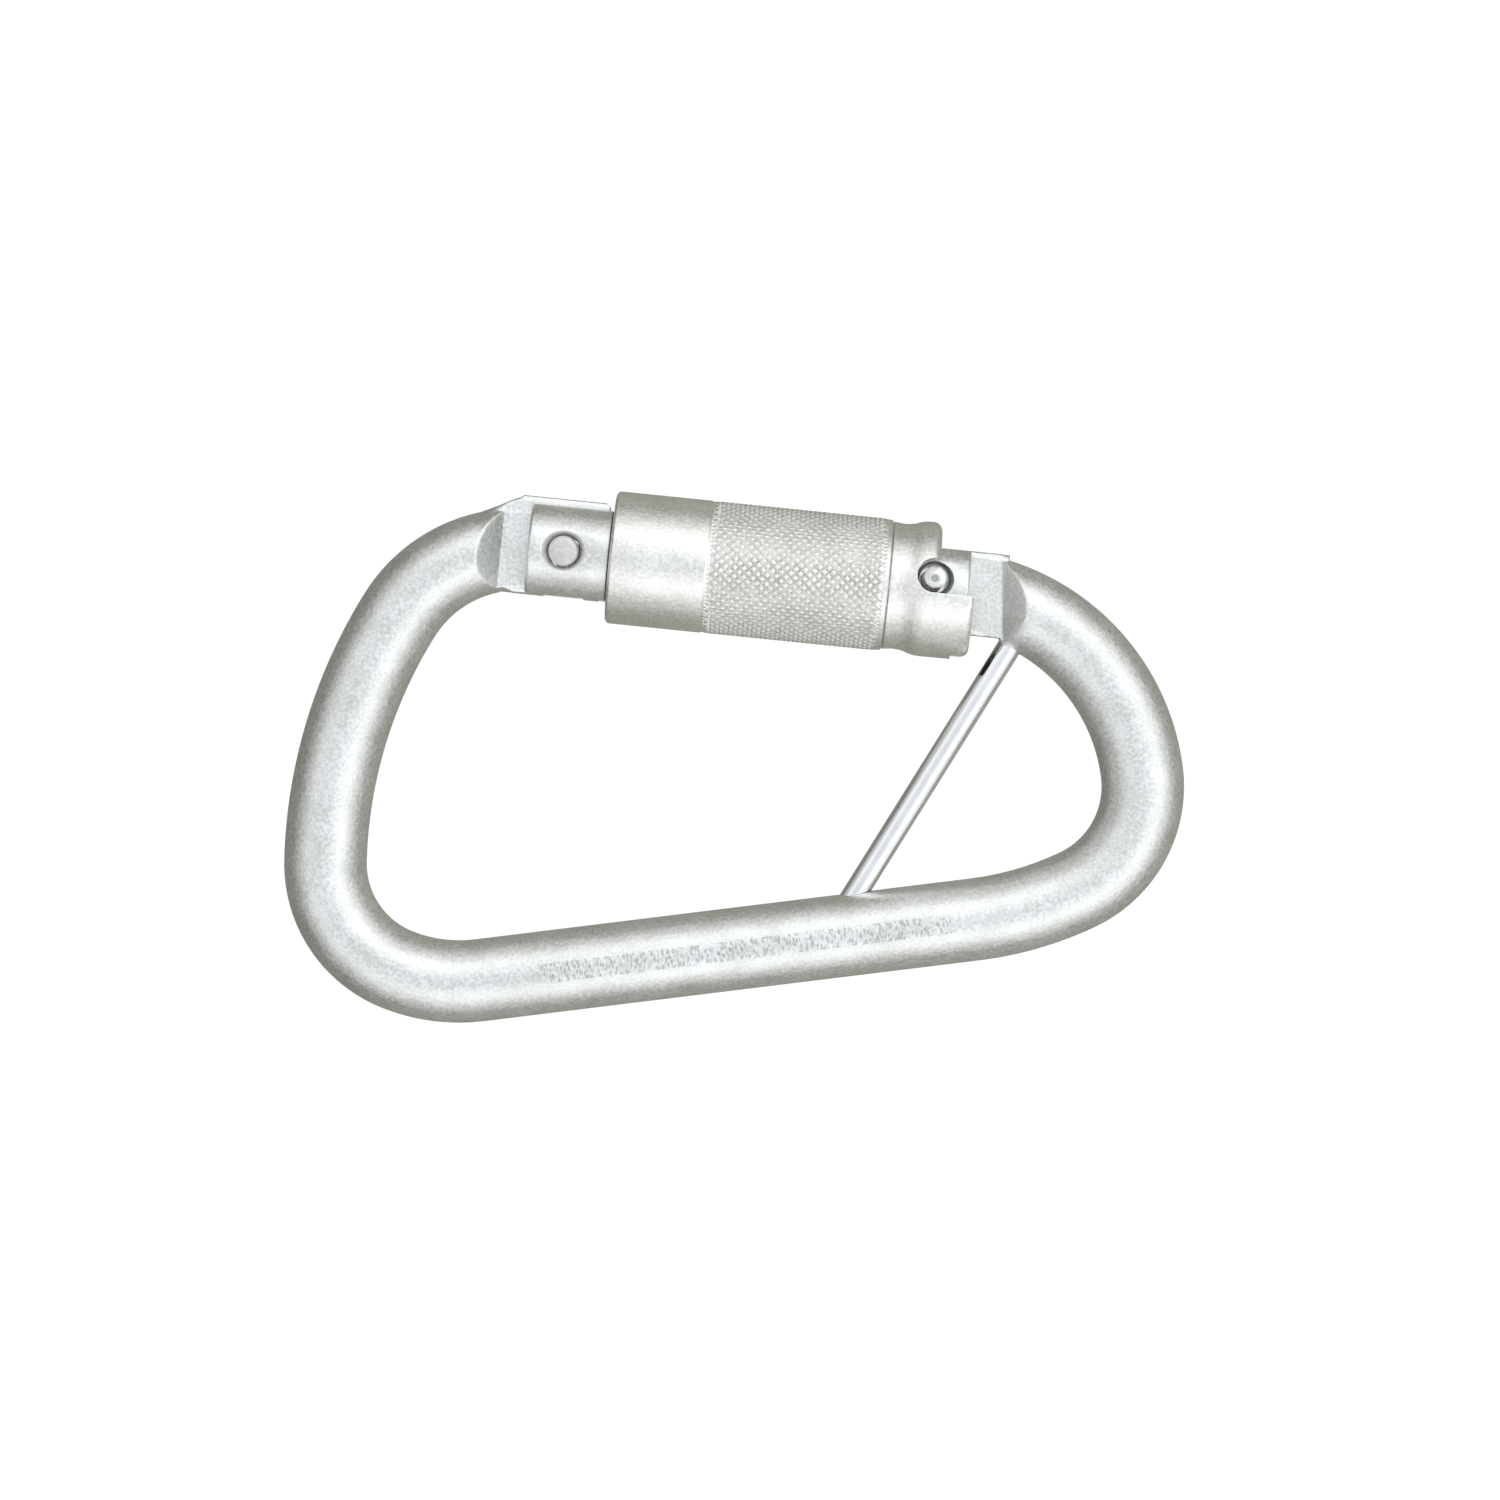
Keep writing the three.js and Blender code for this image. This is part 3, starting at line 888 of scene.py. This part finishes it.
    def build(self, dresser: Dresser, pin: "CaptivePin") -> None:
        """Builds the bar, drills it and dresses it.

        Args:
            dresser: What sets it into the frame.
            pin: The captive pin, whose seats are drilled.
        """
        angles = np.linspace(0, 2 * math.pi, self.sides, endpoint=False)
        rings: list[Ring] = []
        vertices: list[np.ndarray] = []
        for distance in self.stations():
            rings.append(list(range(len(vertices), len(vertices) + self.sides)))
            vertices += list(self.section(distance, angles))
        faces = [quad for a, b in zip(rings, rings[1:]) for quad in bridge(a, b)]
        bar = mesh_object("forged_bar", vertices, [*faces, tuple(rings[0]), tuple(rings[-1])])
        cut(bar, self.latch_notch())
        pivot_s, pivot_n = self.axes.pivot_sn
        cut(bar, rod("rivet_hole", 1.65, (pivot_s, pivot_n, -4), (pivot_s, pivot_n, 4)))
        for hole in pin.holes():
            cut(bar, hole)
        shade(bar, 24)
        self.mark_flats(bar)
        strip = self.strip()
        finishes = [
            ZincPlate("forged_zinc", strip=strip),
            CutSteel("milled_flat", turn=5.8),
            # Darker copy of the milled finish for the sloped shoulder faces: painted shade.
            CutSteel(
                "milled_shoulder_painted_shade", light=(0.62, 0.625, 0.60), dark=(0.5, 0.505, 0.48),
                turn=5.8, roughness=0.42,
            ),
        ]
        dresser.set_down(bar, Body.FRAME, ["body"], finishes)

    def latch_notch(self) -> bpy.types.Object:
        """The tool that cuts the nose's notch for the latch pin."""
        outline = [*arc_points((0, 0), 2.1, 0, 180, 24), (-2.1, -7.0), (3.0, -7.0)]
        return prism("notch", outline, -4, 4)

    def mark_flats(self, bar: bpy.types.Object) -> None:
        """Gives the milled flats of both tangs their own finish, and the sloped shoulder faces a darker copy
        of it that is painted shade.

        Args:
            bar: The finished bar.
        """
        for face in bar.data.polygons:
            s, n, z = face.center
            if not (n > -6.2 and (-11 < s < 6 or 40 < s < 58)):
                continue
            if abs(face.normal.z) > 0.985 and abs(z) < self.tang_half + 0.05:
                face.material_index = 1
            # Sloped shoulder faces get material 2, the milled finish painted darker as shade.
            elif 0.62 < abs(face.normal.z) < 0.78 and abs(face.normal.x) > 0.6 and abs(z) < 5.0:
                face.material_index = 2

    def strip(self) -> MarkStrip:
        """Places the stippled strip along the spine's upper face.

        Returns:
            The strip, in the frame.
        """
        spine_start = sum(stretch.length for stretch in self.route[:5])
        ends = []
        for share in (0.13, 0.95):
            centre, _ = self.centre(spine_start + share * self.route[5].length)
            ends.append(self.axes.to_frame(centre[0], centre[1]))
        return MarkStrip(tuple(ends[0].xy), tuple(ends[1].xy), 2.3 * MM, self.axes.origin.z + 3.5 * MM)


@dataclass
class CaptivePin:
    """The polished rod across the narrow end."""

    axes: GateAxes
    radius: float = 1.5
    chamfer: float = 0.25
    gap: float = 0.12
    seat: float = 0.3
    drill: float = 9.0

    def ends(self) -> tuple[Vector, Vector]:
        """Reads the rod's ends from its box.

        Returns:
            The upper and the lower end in the gate's millimetres.
        """
        low, high = (Vector(corner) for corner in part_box("captive_pin"))
        along = Vector((high.x - low.x, high.y - low.y)).normalized()
        inset = self.radius * MM * Vector((along.y, along.x))
        middle = self.axes.origin.z
        upper = self.axes.matrix.inverted() @ Vector((high.x - inset.x, high.y - inset.y, middle))
        lower = self.axes.matrix.inverted() @ Vector((low.x + inset.x, low.y + inset.y, middle))
        return upper, lower

    def holes(self) -> list[bpy.types.Object]:
        """Makes the tools that drill the rod's two seats.

        Returns:
            The upper and the lower tool.
        """
        upper, lower = self.ends()
        along = (lower - upper).normalized()
        made = []
        for number, (end, inward) in enumerate(((upper, along), (lower, -along))):
            floor, mouth = end - self.seat * inward, end + self.drill * inward
            made.append(rod(f"seat_{number}", self.radius + self.gap, floor, mouth))
        return made

    def build(self, dresser: Dresser) -> None:
        """Turns the rod, lays it between its seats and dresses it.

        Args:
            dresser: What sets it into the frame.
        """
        upper, lower = self.ends()
        length = (lower - upper).length
        profile = [
            (0, 0), (0, self.radius - self.chamfer), (self.chamfer, self.radius),
            *[(self.chamfer + (length - 2 * self.chamfer) * i / 24, self.radius) for i in range(1, 24)],
            (length - self.chamfer, self.radius), (length, self.radius - self.chamfer), (length, 0),
        ]
        pin = turned("captive_rod", profile, 72)
        turn = (lower - upper).to_track_quat("X", "Z").to_matrix().to_4x4()
        pin.data.transform(Matrix.Translation(upper) @ turn)
        shade(pin)
        polished = CutSteel(
            "polished_rod", light=(0.93, 0.935, 0.94), dark=(0.86, 0.865, 0.87), roughness=0.13,
            lines=(400, 400, 400), depth=0.000003,
        )
        dresser.set_down(pin, Body.FRAME, ["captive_pin"], [polished])


# ---------------------------------------------------------------- Gate


@dataclass
class Gate:
    """The gate arm with its pins, retaining ring, closing spring and plunger."""

    axes: GateAxes
    radius: float = 5.6
    nose_radius: float = 5.98
    nose_end: float = 5.4
    start: float = -4.4
    end: float = 49.3
    edge: float = 0.45
    slot_half: float = 2.4
    nose_slot_end: float = 5.9
    hinge_slot_start: float = 38.7
    bore: float = 2.5
    bore_start: float = 20.0
    groove: tuple[float, float, float] = (11.85, 13.05, 4.95)
    latch_radius: float = 1.85
    latch_half: float = 5.12
    rivet_radius: float = 1.5
    plunger_front: float = 40.8
    plunger_length: float = 6.2
    plunger_radius: float = 2.35
    plunger_travel: float = 0.895
    sides: int = 112

    def arm(self, dresser: Dresser) -> None:
        """Turns the arm, cuts its slots, bore and holes, and dresses it.

        Args:
            dresser: What sets it into the frame.
        """
        groove_start, groove_end, groove_radius = self.groove
        profile = [
            (self.start, 0),
            *arc_points((self.start + self.edge, self.nose_radius - self.edge), self.edge, 180, 90, 5),
            (self.nose_end, self.nose_radius), (self.nose_end + 0.5, self.radius),
            (groove_start, self.radius), (groove_start, groove_radius),
            (groove_end, groove_radius), (groove_end, self.radius),
            *arc_points((self.end - self.edge, self.radius - self.edge), self.edge, 90, 0, 5),
            (self.end, 0),
        ]
        arm = turned("gate_bar", profile, self.sides)
        reach = self.radius + 2
        for low, high in ((self.start - 1, self.nose_slot_end), (self.hinge_slot_start, self.end + 1)):
            outline = [(low, -reach), (high, -reach), (high, reach), (low, reach)]
            cut(arm, prism("slot", outline, -self.slot_half, self.slot_half))
        cut(arm, rod("bore", self.bore, (self.bore_start, 0, 0), (self.hinge_slot_start + 1, 0, 0)))
        pivot_s, pivot_n = self.axes.pivot_sn
        for s, n, hole, floor in (
            (0, 0, self.latch_radius + 0.12, 4.35),
            (pivot_s, pivot_n, self.rivet_radius + 0.3, 3.4),
        ):
            cut(arm, rod("hole", hole, (s, n, -8), (s, n, 8)))
            for side in (-1, 1):
                cut(arm, rod("recess", hole + 0.02, (s, n, side * floor), (s, n, side * 6.4), hole + 0.8))
        break_edges(arm, 0.12)
        shade(arm)
        plated = ZincPlate("gate_zinc", roughness=0.34, grain=0.7)
        dresser.set_down(arm, Body.GATE, ["gate_arm"], [plated])

    def latch_pin(self, dresser: Dresser) -> None:
        """Turns the flat-ended latch pin.

        Args:
            dresser: What sets it into the frame.
        """
        chamfer = 0.28
        half, radius = self.latch_half, self.latch_radius
        profile = [
            (-half, 0), (-half, radius - chamfer), (chamfer - half, radius),
            (half - chamfer, radius), (half, radius - chamfer), (half, 0),
        ]
        pin = turned("latch_pin_turned", profile, 72)
        pin.data.transform(Matrix.Rotation(math.radians(-90), 4, "Y"))
        break_edges(pin, 0.06)
        shade(pin)
        warm = CutSteel(
            "turned_pin", light=(0.78, 0.75, 0.745), dark=(0.60, 0.575, 0.57),
            lines=(1500, 1500, 1500), roughness=0.36,
        )
        dresser.set_down(pin, Body.GATE, ["latch_pin"], [warm])

    def rivet(self, dresser: Dresser) -> None:
        """Turns the hinge rivet with its domed and dimpled ends.

        Args:
            dresser: What sets it into the frame.
        """
        pivot_s, pivot_n = self.axes.pivot_sn
        radius, half = self.rivet_radius, 5.32
        dome = [(half - 0.42 * (r / radius) ** 2.4, r) for r in np.linspace(0.6, radius, 7)]
        dimple = [(half - 1.4, 0), (half - 0.9, 0.26), (half - 0.1, 0.48)]
        upper = dimple + dome
        profile = [(-s, r) for s, r in upper] + [(s, r) for s, r in reversed(upper)]
        rivet = turned("dimpled_rivet", profile, 72)
        upright = Matrix.Rotation(math.radians(-90), 4, "Y")
        rivet.data.transform(Matrix.Translation((pivot_s, pivot_n, 0)) @ upright)
        shade(rivet, 50)
        dresser.set_down(rivet, Body.GATE, ["hinge_rivet"], [RIVET_STEEL])

    def ring(self, dresser: Dresser) -> None:
        """Stamps the open retaining ring, with its mouth on top.

        Args:
            dresser: What sets it into the frame.
        """
        ring = turned("split_ring", [(11.95, 5.1), (11.95, 6.65), (12.95, 6.65), (12.95, 5.1)], 96)
        cut(ring, prism("mouth", [(11, 0), (14, 0), (14, 8), (11, 8)], -3.1, 3.1))
        break_edges(ring, 0.08)
        shade(ring)
        dresser.set_down(ring, Body.GATE, ["retaining_ring"], [WIRE])

    def plunger(self, dresser: Dresser) -> None:
        """Turns the push rod with its domed nose.

        Args:
            dresser: What sets it into the frame.
        """
        front, radius = self.plunger_front, self.plunger_radius
        profile = [
            (front - self.plunger_length, 0), (front - self.plunger_length, radius - 0.2),
            (front - self.plunger_length + 0.2, radius),
            *arc_points((front - 0.7, radius - 0.7), 0.7, 90, 0, 8), (front, 0),
        ]
        rod_piece = turned("domed_plunger", profile, 64)
        shade(rod_piece)
        dresser.set_down(rod_piece, Body.PLUNGER, ["gate_plunger"], [RIVET_STEEL])

    def spring(self, dresser: Dresser) -> None:
        """Winds the closing spring in the arm's bore.

        Args:
            dresser: What sets it into the frame.
        """
        coil = Coil("closing_spring", 20.3, 34.4, 1.9, 0.3, 10)
        spring = coil.wind()
        along, seat = tuple(self.axes.along), tuple(self.axes.to_frame(coil.start, 0))
        dresser.set_down(spring, Body.GATE, ["gate_spring"], [WIRE])
        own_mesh(spring)

    def build(self, dresser: Dresser) -> None:
        """Builds every piece that the gate carries."""
        for make in (self.arm, self.latch_pin, self.rivet, self.ring, self.plunger, self.spring):
            make(dresser)


@dataclass(frozen=True)
class Coil:
    """A compression spring round the gate axis, with closed ends."""

    name: str
    start: float
    end: float
    radius: float
    wire: float
    turns: float
    steps: int = 36

    def wind(self) -> bpy.types.Object:
        """Winds the spring from its start to its end.

        Returns:
            The wound spring.
        """
        share = np.linspace(0, 1, int(self.turns * self.steps) + 1)
        closed = 1.0 / self.turns
        lift = np.clip((share - 0.55 * closed) / (1 - 1.1 * closed), 0, 1)
        ease = lift * lift * (3 - 2 * lift) * 0.25 + lift * 0.75
        low, high = self.start + self.wire, self.end - self.wire
        angle = 2 * math.pi * self.turns * share
        along = low + (high - low) * ease
        points = np.stack([along, self.radius * np.cos(angle), self.radius * np.sin(angle)], axis=1)
        wound = swept_wire(self.name, points, self.wire, 14)
        shade(wound, 50)
        return wound


# ---------------------------------------------------------------- Locking sleeve


@dataclass
class Sleeve:
    """The knurled barrel, the cam collar pressed into it and the sleeve spring."""

    axes: GateAxes
    start: float = 5.64
    end: float = 39.5
    radius: float = 8.1
    bore: float = 6.85
    flange: tuple[float, float, float] = (9.0, 11.6, 5.75)
    knurl_start: float = 17.5
    knurl_depth: float = 0.38
    around: int = 46
    ring_end: float = 45.5
    lobe_end: float = 50.0
    lobe_edge: float = -0.6
    slide: float = 2.6
    twist: float = 110.0
    gate_open: float = 27.0
    sides: int = 96

    def knurl_height(self, row: int, column: int) -> float:
        """How high the knurl stands, from 0 in a groove to 1 on a diamond's top."""
        near = [min((row + side * column) % 4, -(row + side * column) % 4) for side in (1, -1)]
        return (0.0, 0.84, 1.0)[min(near)]

    def knurl_rings(self) -> list[tuple[float, list[float]]]:
        """Works out the sections of the knurled grip.

        Returns:
            Each section's place along the gate and its radii.
        """
        pitch = 2 * math.pi * self.radius / self.around
        span = self.end - 0.5 - self.knurl_start
        rows = 4 * int(round(span / pitch))
        crest, valley = self.radius, self.radius - self.knurl_depth
        rings = []
        for row in range(rows + 1):
            fade = min(1.0, row / 3, (rows - row) / 3)
            heights = [self.knurl_height(row, column) for column in range(4 * self.around)]
            rings.append((
                self.knurl_start + span * row / rows,
                [valley + (crest - valley) * (fade * h + (1 - fade) * 0.7) for h in heights],
            ))
        return rings

    def barrel(self, dresser: Dresser) -> None:
        """Builds the barrel with a raised diamond for every crossing of its knurl.

        Args:
            dresser: What sets it into the frame.
        """
        corners = 4 * self.around
        angles = [2 * math.pi * k / corners for k in range(corners)]
        plain = self.knurl_start - self.start - 0.25
        edge = ((0, 0.55), (0.12, 0.27), (0.3, 0.08), (0.6, 0.01), (plain, 0.01))
        sections = [(self.start + s, [self.radius - r] * corners) for s, r in edge]
        sections += self.knurl_rings()
        sections.append((self.end - 0.15, [self.radius - 0.14] * corners))
        sections.append((self.end, [self.radius - 0.28] * corners))
        start, stop, inner = self.flange
        for s, r in ((self.end, self.bore), (stop, self.bore), (stop, inner), (start, inner),
                     (start, self.bore), (self.start, self.bore)):
            sections.append((s, [r] * corners))
        vertices, rings = [], []
        for s, ring in sections:
            rings.append(list(range(len(vertices), len(vertices) + corners)))
            vertices += [(s, r * math.cos(a), r * math.sin(a)) for r, a in zip(ring, angles)]
        reach = [r for _, ring in sections for r in ring]
        faces = []
        for first, second in zip(rings, rings[1:] + rings[:1]):
            for a, b, c, d in bridge(first, second):
                level = abs(reach[a] - reach[c]) < 1e-9 and abs(reach[b] - reach[d]) < 1e-9
                if level and reach[a] == reach[b]:
                    faces.append((a, b, c, d))
                elif self.along_groove(reach[a], reach[c], reach[b], reach[d]):
                    faces += [(a, b, c), (a, c, d)]
                else:
                    faces += [(a, b, d), (b, c, d)]
        barrel = mesh_object("knurled_barrel", vertices, faces)
        shade(barrel, 22)
        dresser.set_down(barrel, Body.SLEEVE, ["sleeve_barrel"], [SLEEVE_ZINC])

    def along_groove(self, a: float, c: float, b: float, d: float) -> bool:
        """Whether a knurl quad is better split from a to c, which keeps grooves and ridges straight."""
        return abs(a - c) + 1e-9 * (a + c) < abs(b - d) + 1e-9 * (b + d)

    def tang_swing(self, twist: float) -> bpy.types.Object:
        """Makes the tool that clears the hinge tang's swing from the collar.

        Args:
            twist: The twist that the collar stands at, in degrees.

        Returns:
            The tool.
        """
        s, n = self.axes.pivot_sn
        heel = heel_points((s, n), self.gate_open + 4)
        outline = [
            *arc_points((s, n), 3.9, 90, 150, 6), (s - 4.05, n - 0.4),
            *heel, (s - 2.9, -4.55), (s - 1.6, -5.45),
            (54.2, -5.45), (58, -3), (58, 3.3), (53, 5.1),
        ]
        swing = prism("swing", outline, -2.6, 2.6)
        place = Matrix.Translation((s, n, 0))
        turn = Matrix.Rotation(-math.radians(self.gate_open), 4, "Z")
        swing.data.transform(place @ turn @ place.inverted())
        cut(swing, prism("blunt", [(47.9, -9), (52, -9), (52, -5), (47.9, -5)], -2.6, 2.6), "UNION")
        swing.data.transform(Matrix.Rotation(-math.radians(twist), 4, "X"))
        return swing

    def collar(self, dresser: Dresser) -> None:
        """Turns the collar and cuts its lobe, pocket and ramps.

        Args:
            dresser: What sets it into the frame.
        """
        round_end = [(s, r) for s, r in arc_points((self.ring_end - 1.1, 7.15), 1.1, 85, 0, 9)]
        ring = turned("cam_collar_turned", [
            (36.5, 5.9), (36.5, 6.7), (39.55, 6.7), (39.56, 7.68), (39.68, 7.8), (40.3, 7.71), (40.95, 7.66),
            (41.6, 7.71), (42.2, 7.82), (42.7, 8.0), (43.3, 8.17), (43.9, 8.23), (44.3, 8.24), *round_end,
            (self.ring_end, 5.9),
        ], self.sides)
        lobe = turned("collar_lobe", [
            (43.9, 5.9), (43.9, 8.23), (44.6, 8.24), (46.0, 8.22), (48.0, 8.22),
            *arc_points((self.lobe_end - 0.8, 7.42), 0.8, 90, 0, 8), (self.lobe_end, 5.9),
        ], self.sides)
        edge = self.lobe_edge
        outline = [
            (43, -12), (52, -12), (52, edge - 1.8),
            *arc_points((self.lobe_end - 0.8, edge - 0.8), 0.8, 0, 90, 6), (43, edge),
        ]
        cut(lobe, prism("below", outline, -12, 12), "INTERSECT")
        cut(ring, lobe, "UNION")
        pivot_s, pivot_n = self.axes.pivot_sn
        cut(ring, rod("pocket", 2.1, (pivot_s - 0.1, pivot_n + 0.3, -12), (pivot_s - 0.1, pivot_n + 0.3, 12)))
        break_edges(ring, 0.14)
        for twist in (0.0, self.twist):
            cut(ring, self.tang_swing(twist))
        shade(ring)
        dresser.set_down(ring, Body.SLEEVE, ["cam_collar"], [SLEEVE_ZINC])

    def spring(self, dresser: Dresser) -> None:
        """Winds the sleeve's return spring between the retaining ring and the collar.

        Args:
            dresser: What sets it into the frame.
        """
        coil = Coil("return_spring", 13.2, 36.3, 6.22, 0.4, 8)
        spring = coil.wind()
        along, seat = tuple(self.axes.along), tuple(self.axes.to_frame(coil.start, 0))
        dresser.set_down(spring, Body.GATE, ["sleeve_spring"], [WIRE])
        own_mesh(spring)

    def build(self, dresser: Dresser) -> None:
        """Builds every piece of the sleeve."""
        for make in (self.barrel, self.collar, self.spring):
            make(dresser)


# ---------------------------------------------------------------- Studio


@dataclass(frozen=True)
class Studio:
    """A white table under a wide soft light, seen from straight above."""

    middle: tuple[float, float, float] = (0.00196, 0.00089, 0.00823)
    width: float = 0.18293
    lens: float = 120.0
    sensor: float = 36.0

    def floor(self) -> None:
        """Lays the pale table."""
        size = 0.6
        corners = [(-size, -size, 0), (size, -size, 0), (size, size, 0), (-size, size, 0)]
        floor = mesh_object("table", corners, [(0, 1, 2, 3)])
        bench = NodeBench("table_white")
        bench.tree.nodes.remove(bench.shader)
        glow = bench.node("ShaderNodeEmission", {"Color": (1, 1, 1, 1), "Strength": 1.08})
        matte = bench.node("ShaderNodeBsdfDiffuse", {"Color": (0.9, 0.9, 0.9, 1)})
        mixed = bench.node("ShaderNodeMixShader", {0: 0.04})
        bench.join(glow, "Emission", mixed, 1)
        bench.join(matte, "BSDF", mixed, 2)
        bench.join(mixed, "Shader", bench.output, "Surface")
        floor.data.materials.append(bench.material)
        floor.visible_glossy = False
        floor.visible_diffuse = False

    def sky(self) -> None:
        """Surrounds the table with a bright ceiling that darkens towards the horizon."""
        world = bpy.data.worlds.new("soft_room")
        bpy.context.scene.world = world
        world.use_nodes = True
        tree = world.node_tree
        tree.nodes.clear()

        def add(kind: str, **settings: object) -> bpy.types.Node:
            """Adds a node to the room.

            Args:
                kind: The node's type name.
                **settings: Attributes set on the node.

            Returns:
                The new node.
            """
            made = tree.nodes.new(kind)
            for key, value in settings.items():
                setattr(made, key, value)
            return made

        place = add("ShaderNodeTexCoord")
        axes = add("ShaderNodeSeparateXYZ")
        ramp = add("ShaderNodeValToRGB")
        stops = (
            (0.0, (0.30, 0.30, 0.26)), (0.22, (0.35, 0.35, 0.31)), (0.37, (0.44, 0.44, 0.40)),
            (0.40, (0.05, 0.05, 0.05)), (0.425, (0.05, 0.05, 0.05)), (0.455, (0.50, 0.50, 0.46)),
            (0.52, (0.53, 0.53, 0.50)), (0.58, (0.62, 0.63, 0.61)), (0.70, (0.90, 0.91, 0.91)),
            (0.80, (1.30, 1.32, 1.34)), (0.88, (1.48, 1.50, 1.54)), (0.94, (1.05, 1.09, 1.14)),
            (1.0, (0.74, 0.768, 0.80)),
        )
        for element, (position, colour) in zip(ramp.color_ramp.elements, (stops[0], stops[-1])):
            element.position, element.color = position, (*colour, 1)
        for position, colour in stops[1:-1]:
            ramp.color_ramp.elements.new(position).color = (*colour, 1)
        room, seen, mix = add("ShaderNodeBackground"), add("ShaderNodeBackground"), add("ShaderNodeMixShader")
        dim = add("ShaderNodeMapRange", interpolation_type="SMOOTHSTEP")
        for name, value in (("From Min", -0.65), ("From Max", 0.0), ("To Min", 0.70), ("To Max", 1.06)):
            dim.inputs[name].default_value = value
        seen.inputs["Color"].default_value = (1, 1, 1, 1)
        path, output = add("ShaderNodeLightPath"), add("ShaderNodeOutputWorld")
        tree.links.new(place.outputs["Generated"], axes.inputs[0])
        height = add("ShaderNodeMapRange")
        height.inputs["From Min"].default_value = -1.0
        tree.links.new(axes.outputs[2], height.inputs[0])
        tree.links.new(height.outputs[0], ramp.inputs[0])
        tree.links.new(ramp.outputs[0], room.inputs["Color"])
        tree.links.new(axes.outputs[0], dim.inputs[0])
        tree.links.new(dim.outputs[0], room.inputs["Strength"])
        tree.links.new(path.outputs["Is Camera Ray"], mix.inputs[0])
        tree.links.new(room.outputs[0], mix.inputs[1])
        tree.links.new(seen.outputs[0], mix.inputs[2])
        tree.links.new(mix.outputs[0], output.inputs[0])

    def lamp(self, name: str, place: Sequence[float], size: float, power: float) -> None:
        """Hangs a square soft light that faces the object.

        Args:
            name: The lamp's name.
            place: Where it hangs, in metres.
            size: Its side in metres.
            power: Its power in watts.
        """
        data = bpy.data.lights.new(name, "AREA")
        data.shape, data.size, data.energy = "SQUARE", size, power
        lamp = bpy.data.objects.new(name, data)
        lamp.location = place
        lamp.rotation_euler = (Vector(self.middle) - Vector(place)).to_track_quat("-Z", "Y").to_euler()
        bpy.context.scene.collection.objects.link(lamp)

    def camera(self) -> None:
        """Sets the camera square above the object."""
        data = bpy.data.cameras.new("view")
        data.lens, data.sensor_width = self.lens, self.sensor
        data.dof.use_dof = False
        camera = bpy.data.objects.new("view", data)
        camera.location = Vector(self.middle) + Vector((0, 0, self.width * self.lens / self.sensor))
        bpy.context.scene.collection.objects.link(camera)
        bpy.context.scene.camera = camera

    def build(self) -> None:
        """Sets up the table, the room, the light and the camera."""
        self.floor()
        self.sky()
        self.lamp("ceiling", (0.1, 0.2, 0.45), 0.3, 0.08)
        self.camera()
        bpy.context.scene.view_settings.view_transform = "Standard"


def main() -> None:
    """Builds the carabiner and the studio."""
    logging.basicConfig(level=logging.INFO, format="%(name)s: %(message)s")
    axes = GateAxes.from_joints(frame["joints"])
    dresser = Dresser(axes)
    pin = CaptivePin(axes)
    ForgedBar(axes).build(dresser, pin)
    pin.build(dresser)
    Gate(axes).build(dresser)
    Sleeve(axes).build(dresser)
    Studio().build()


if __name__ == "__main__":
    main()
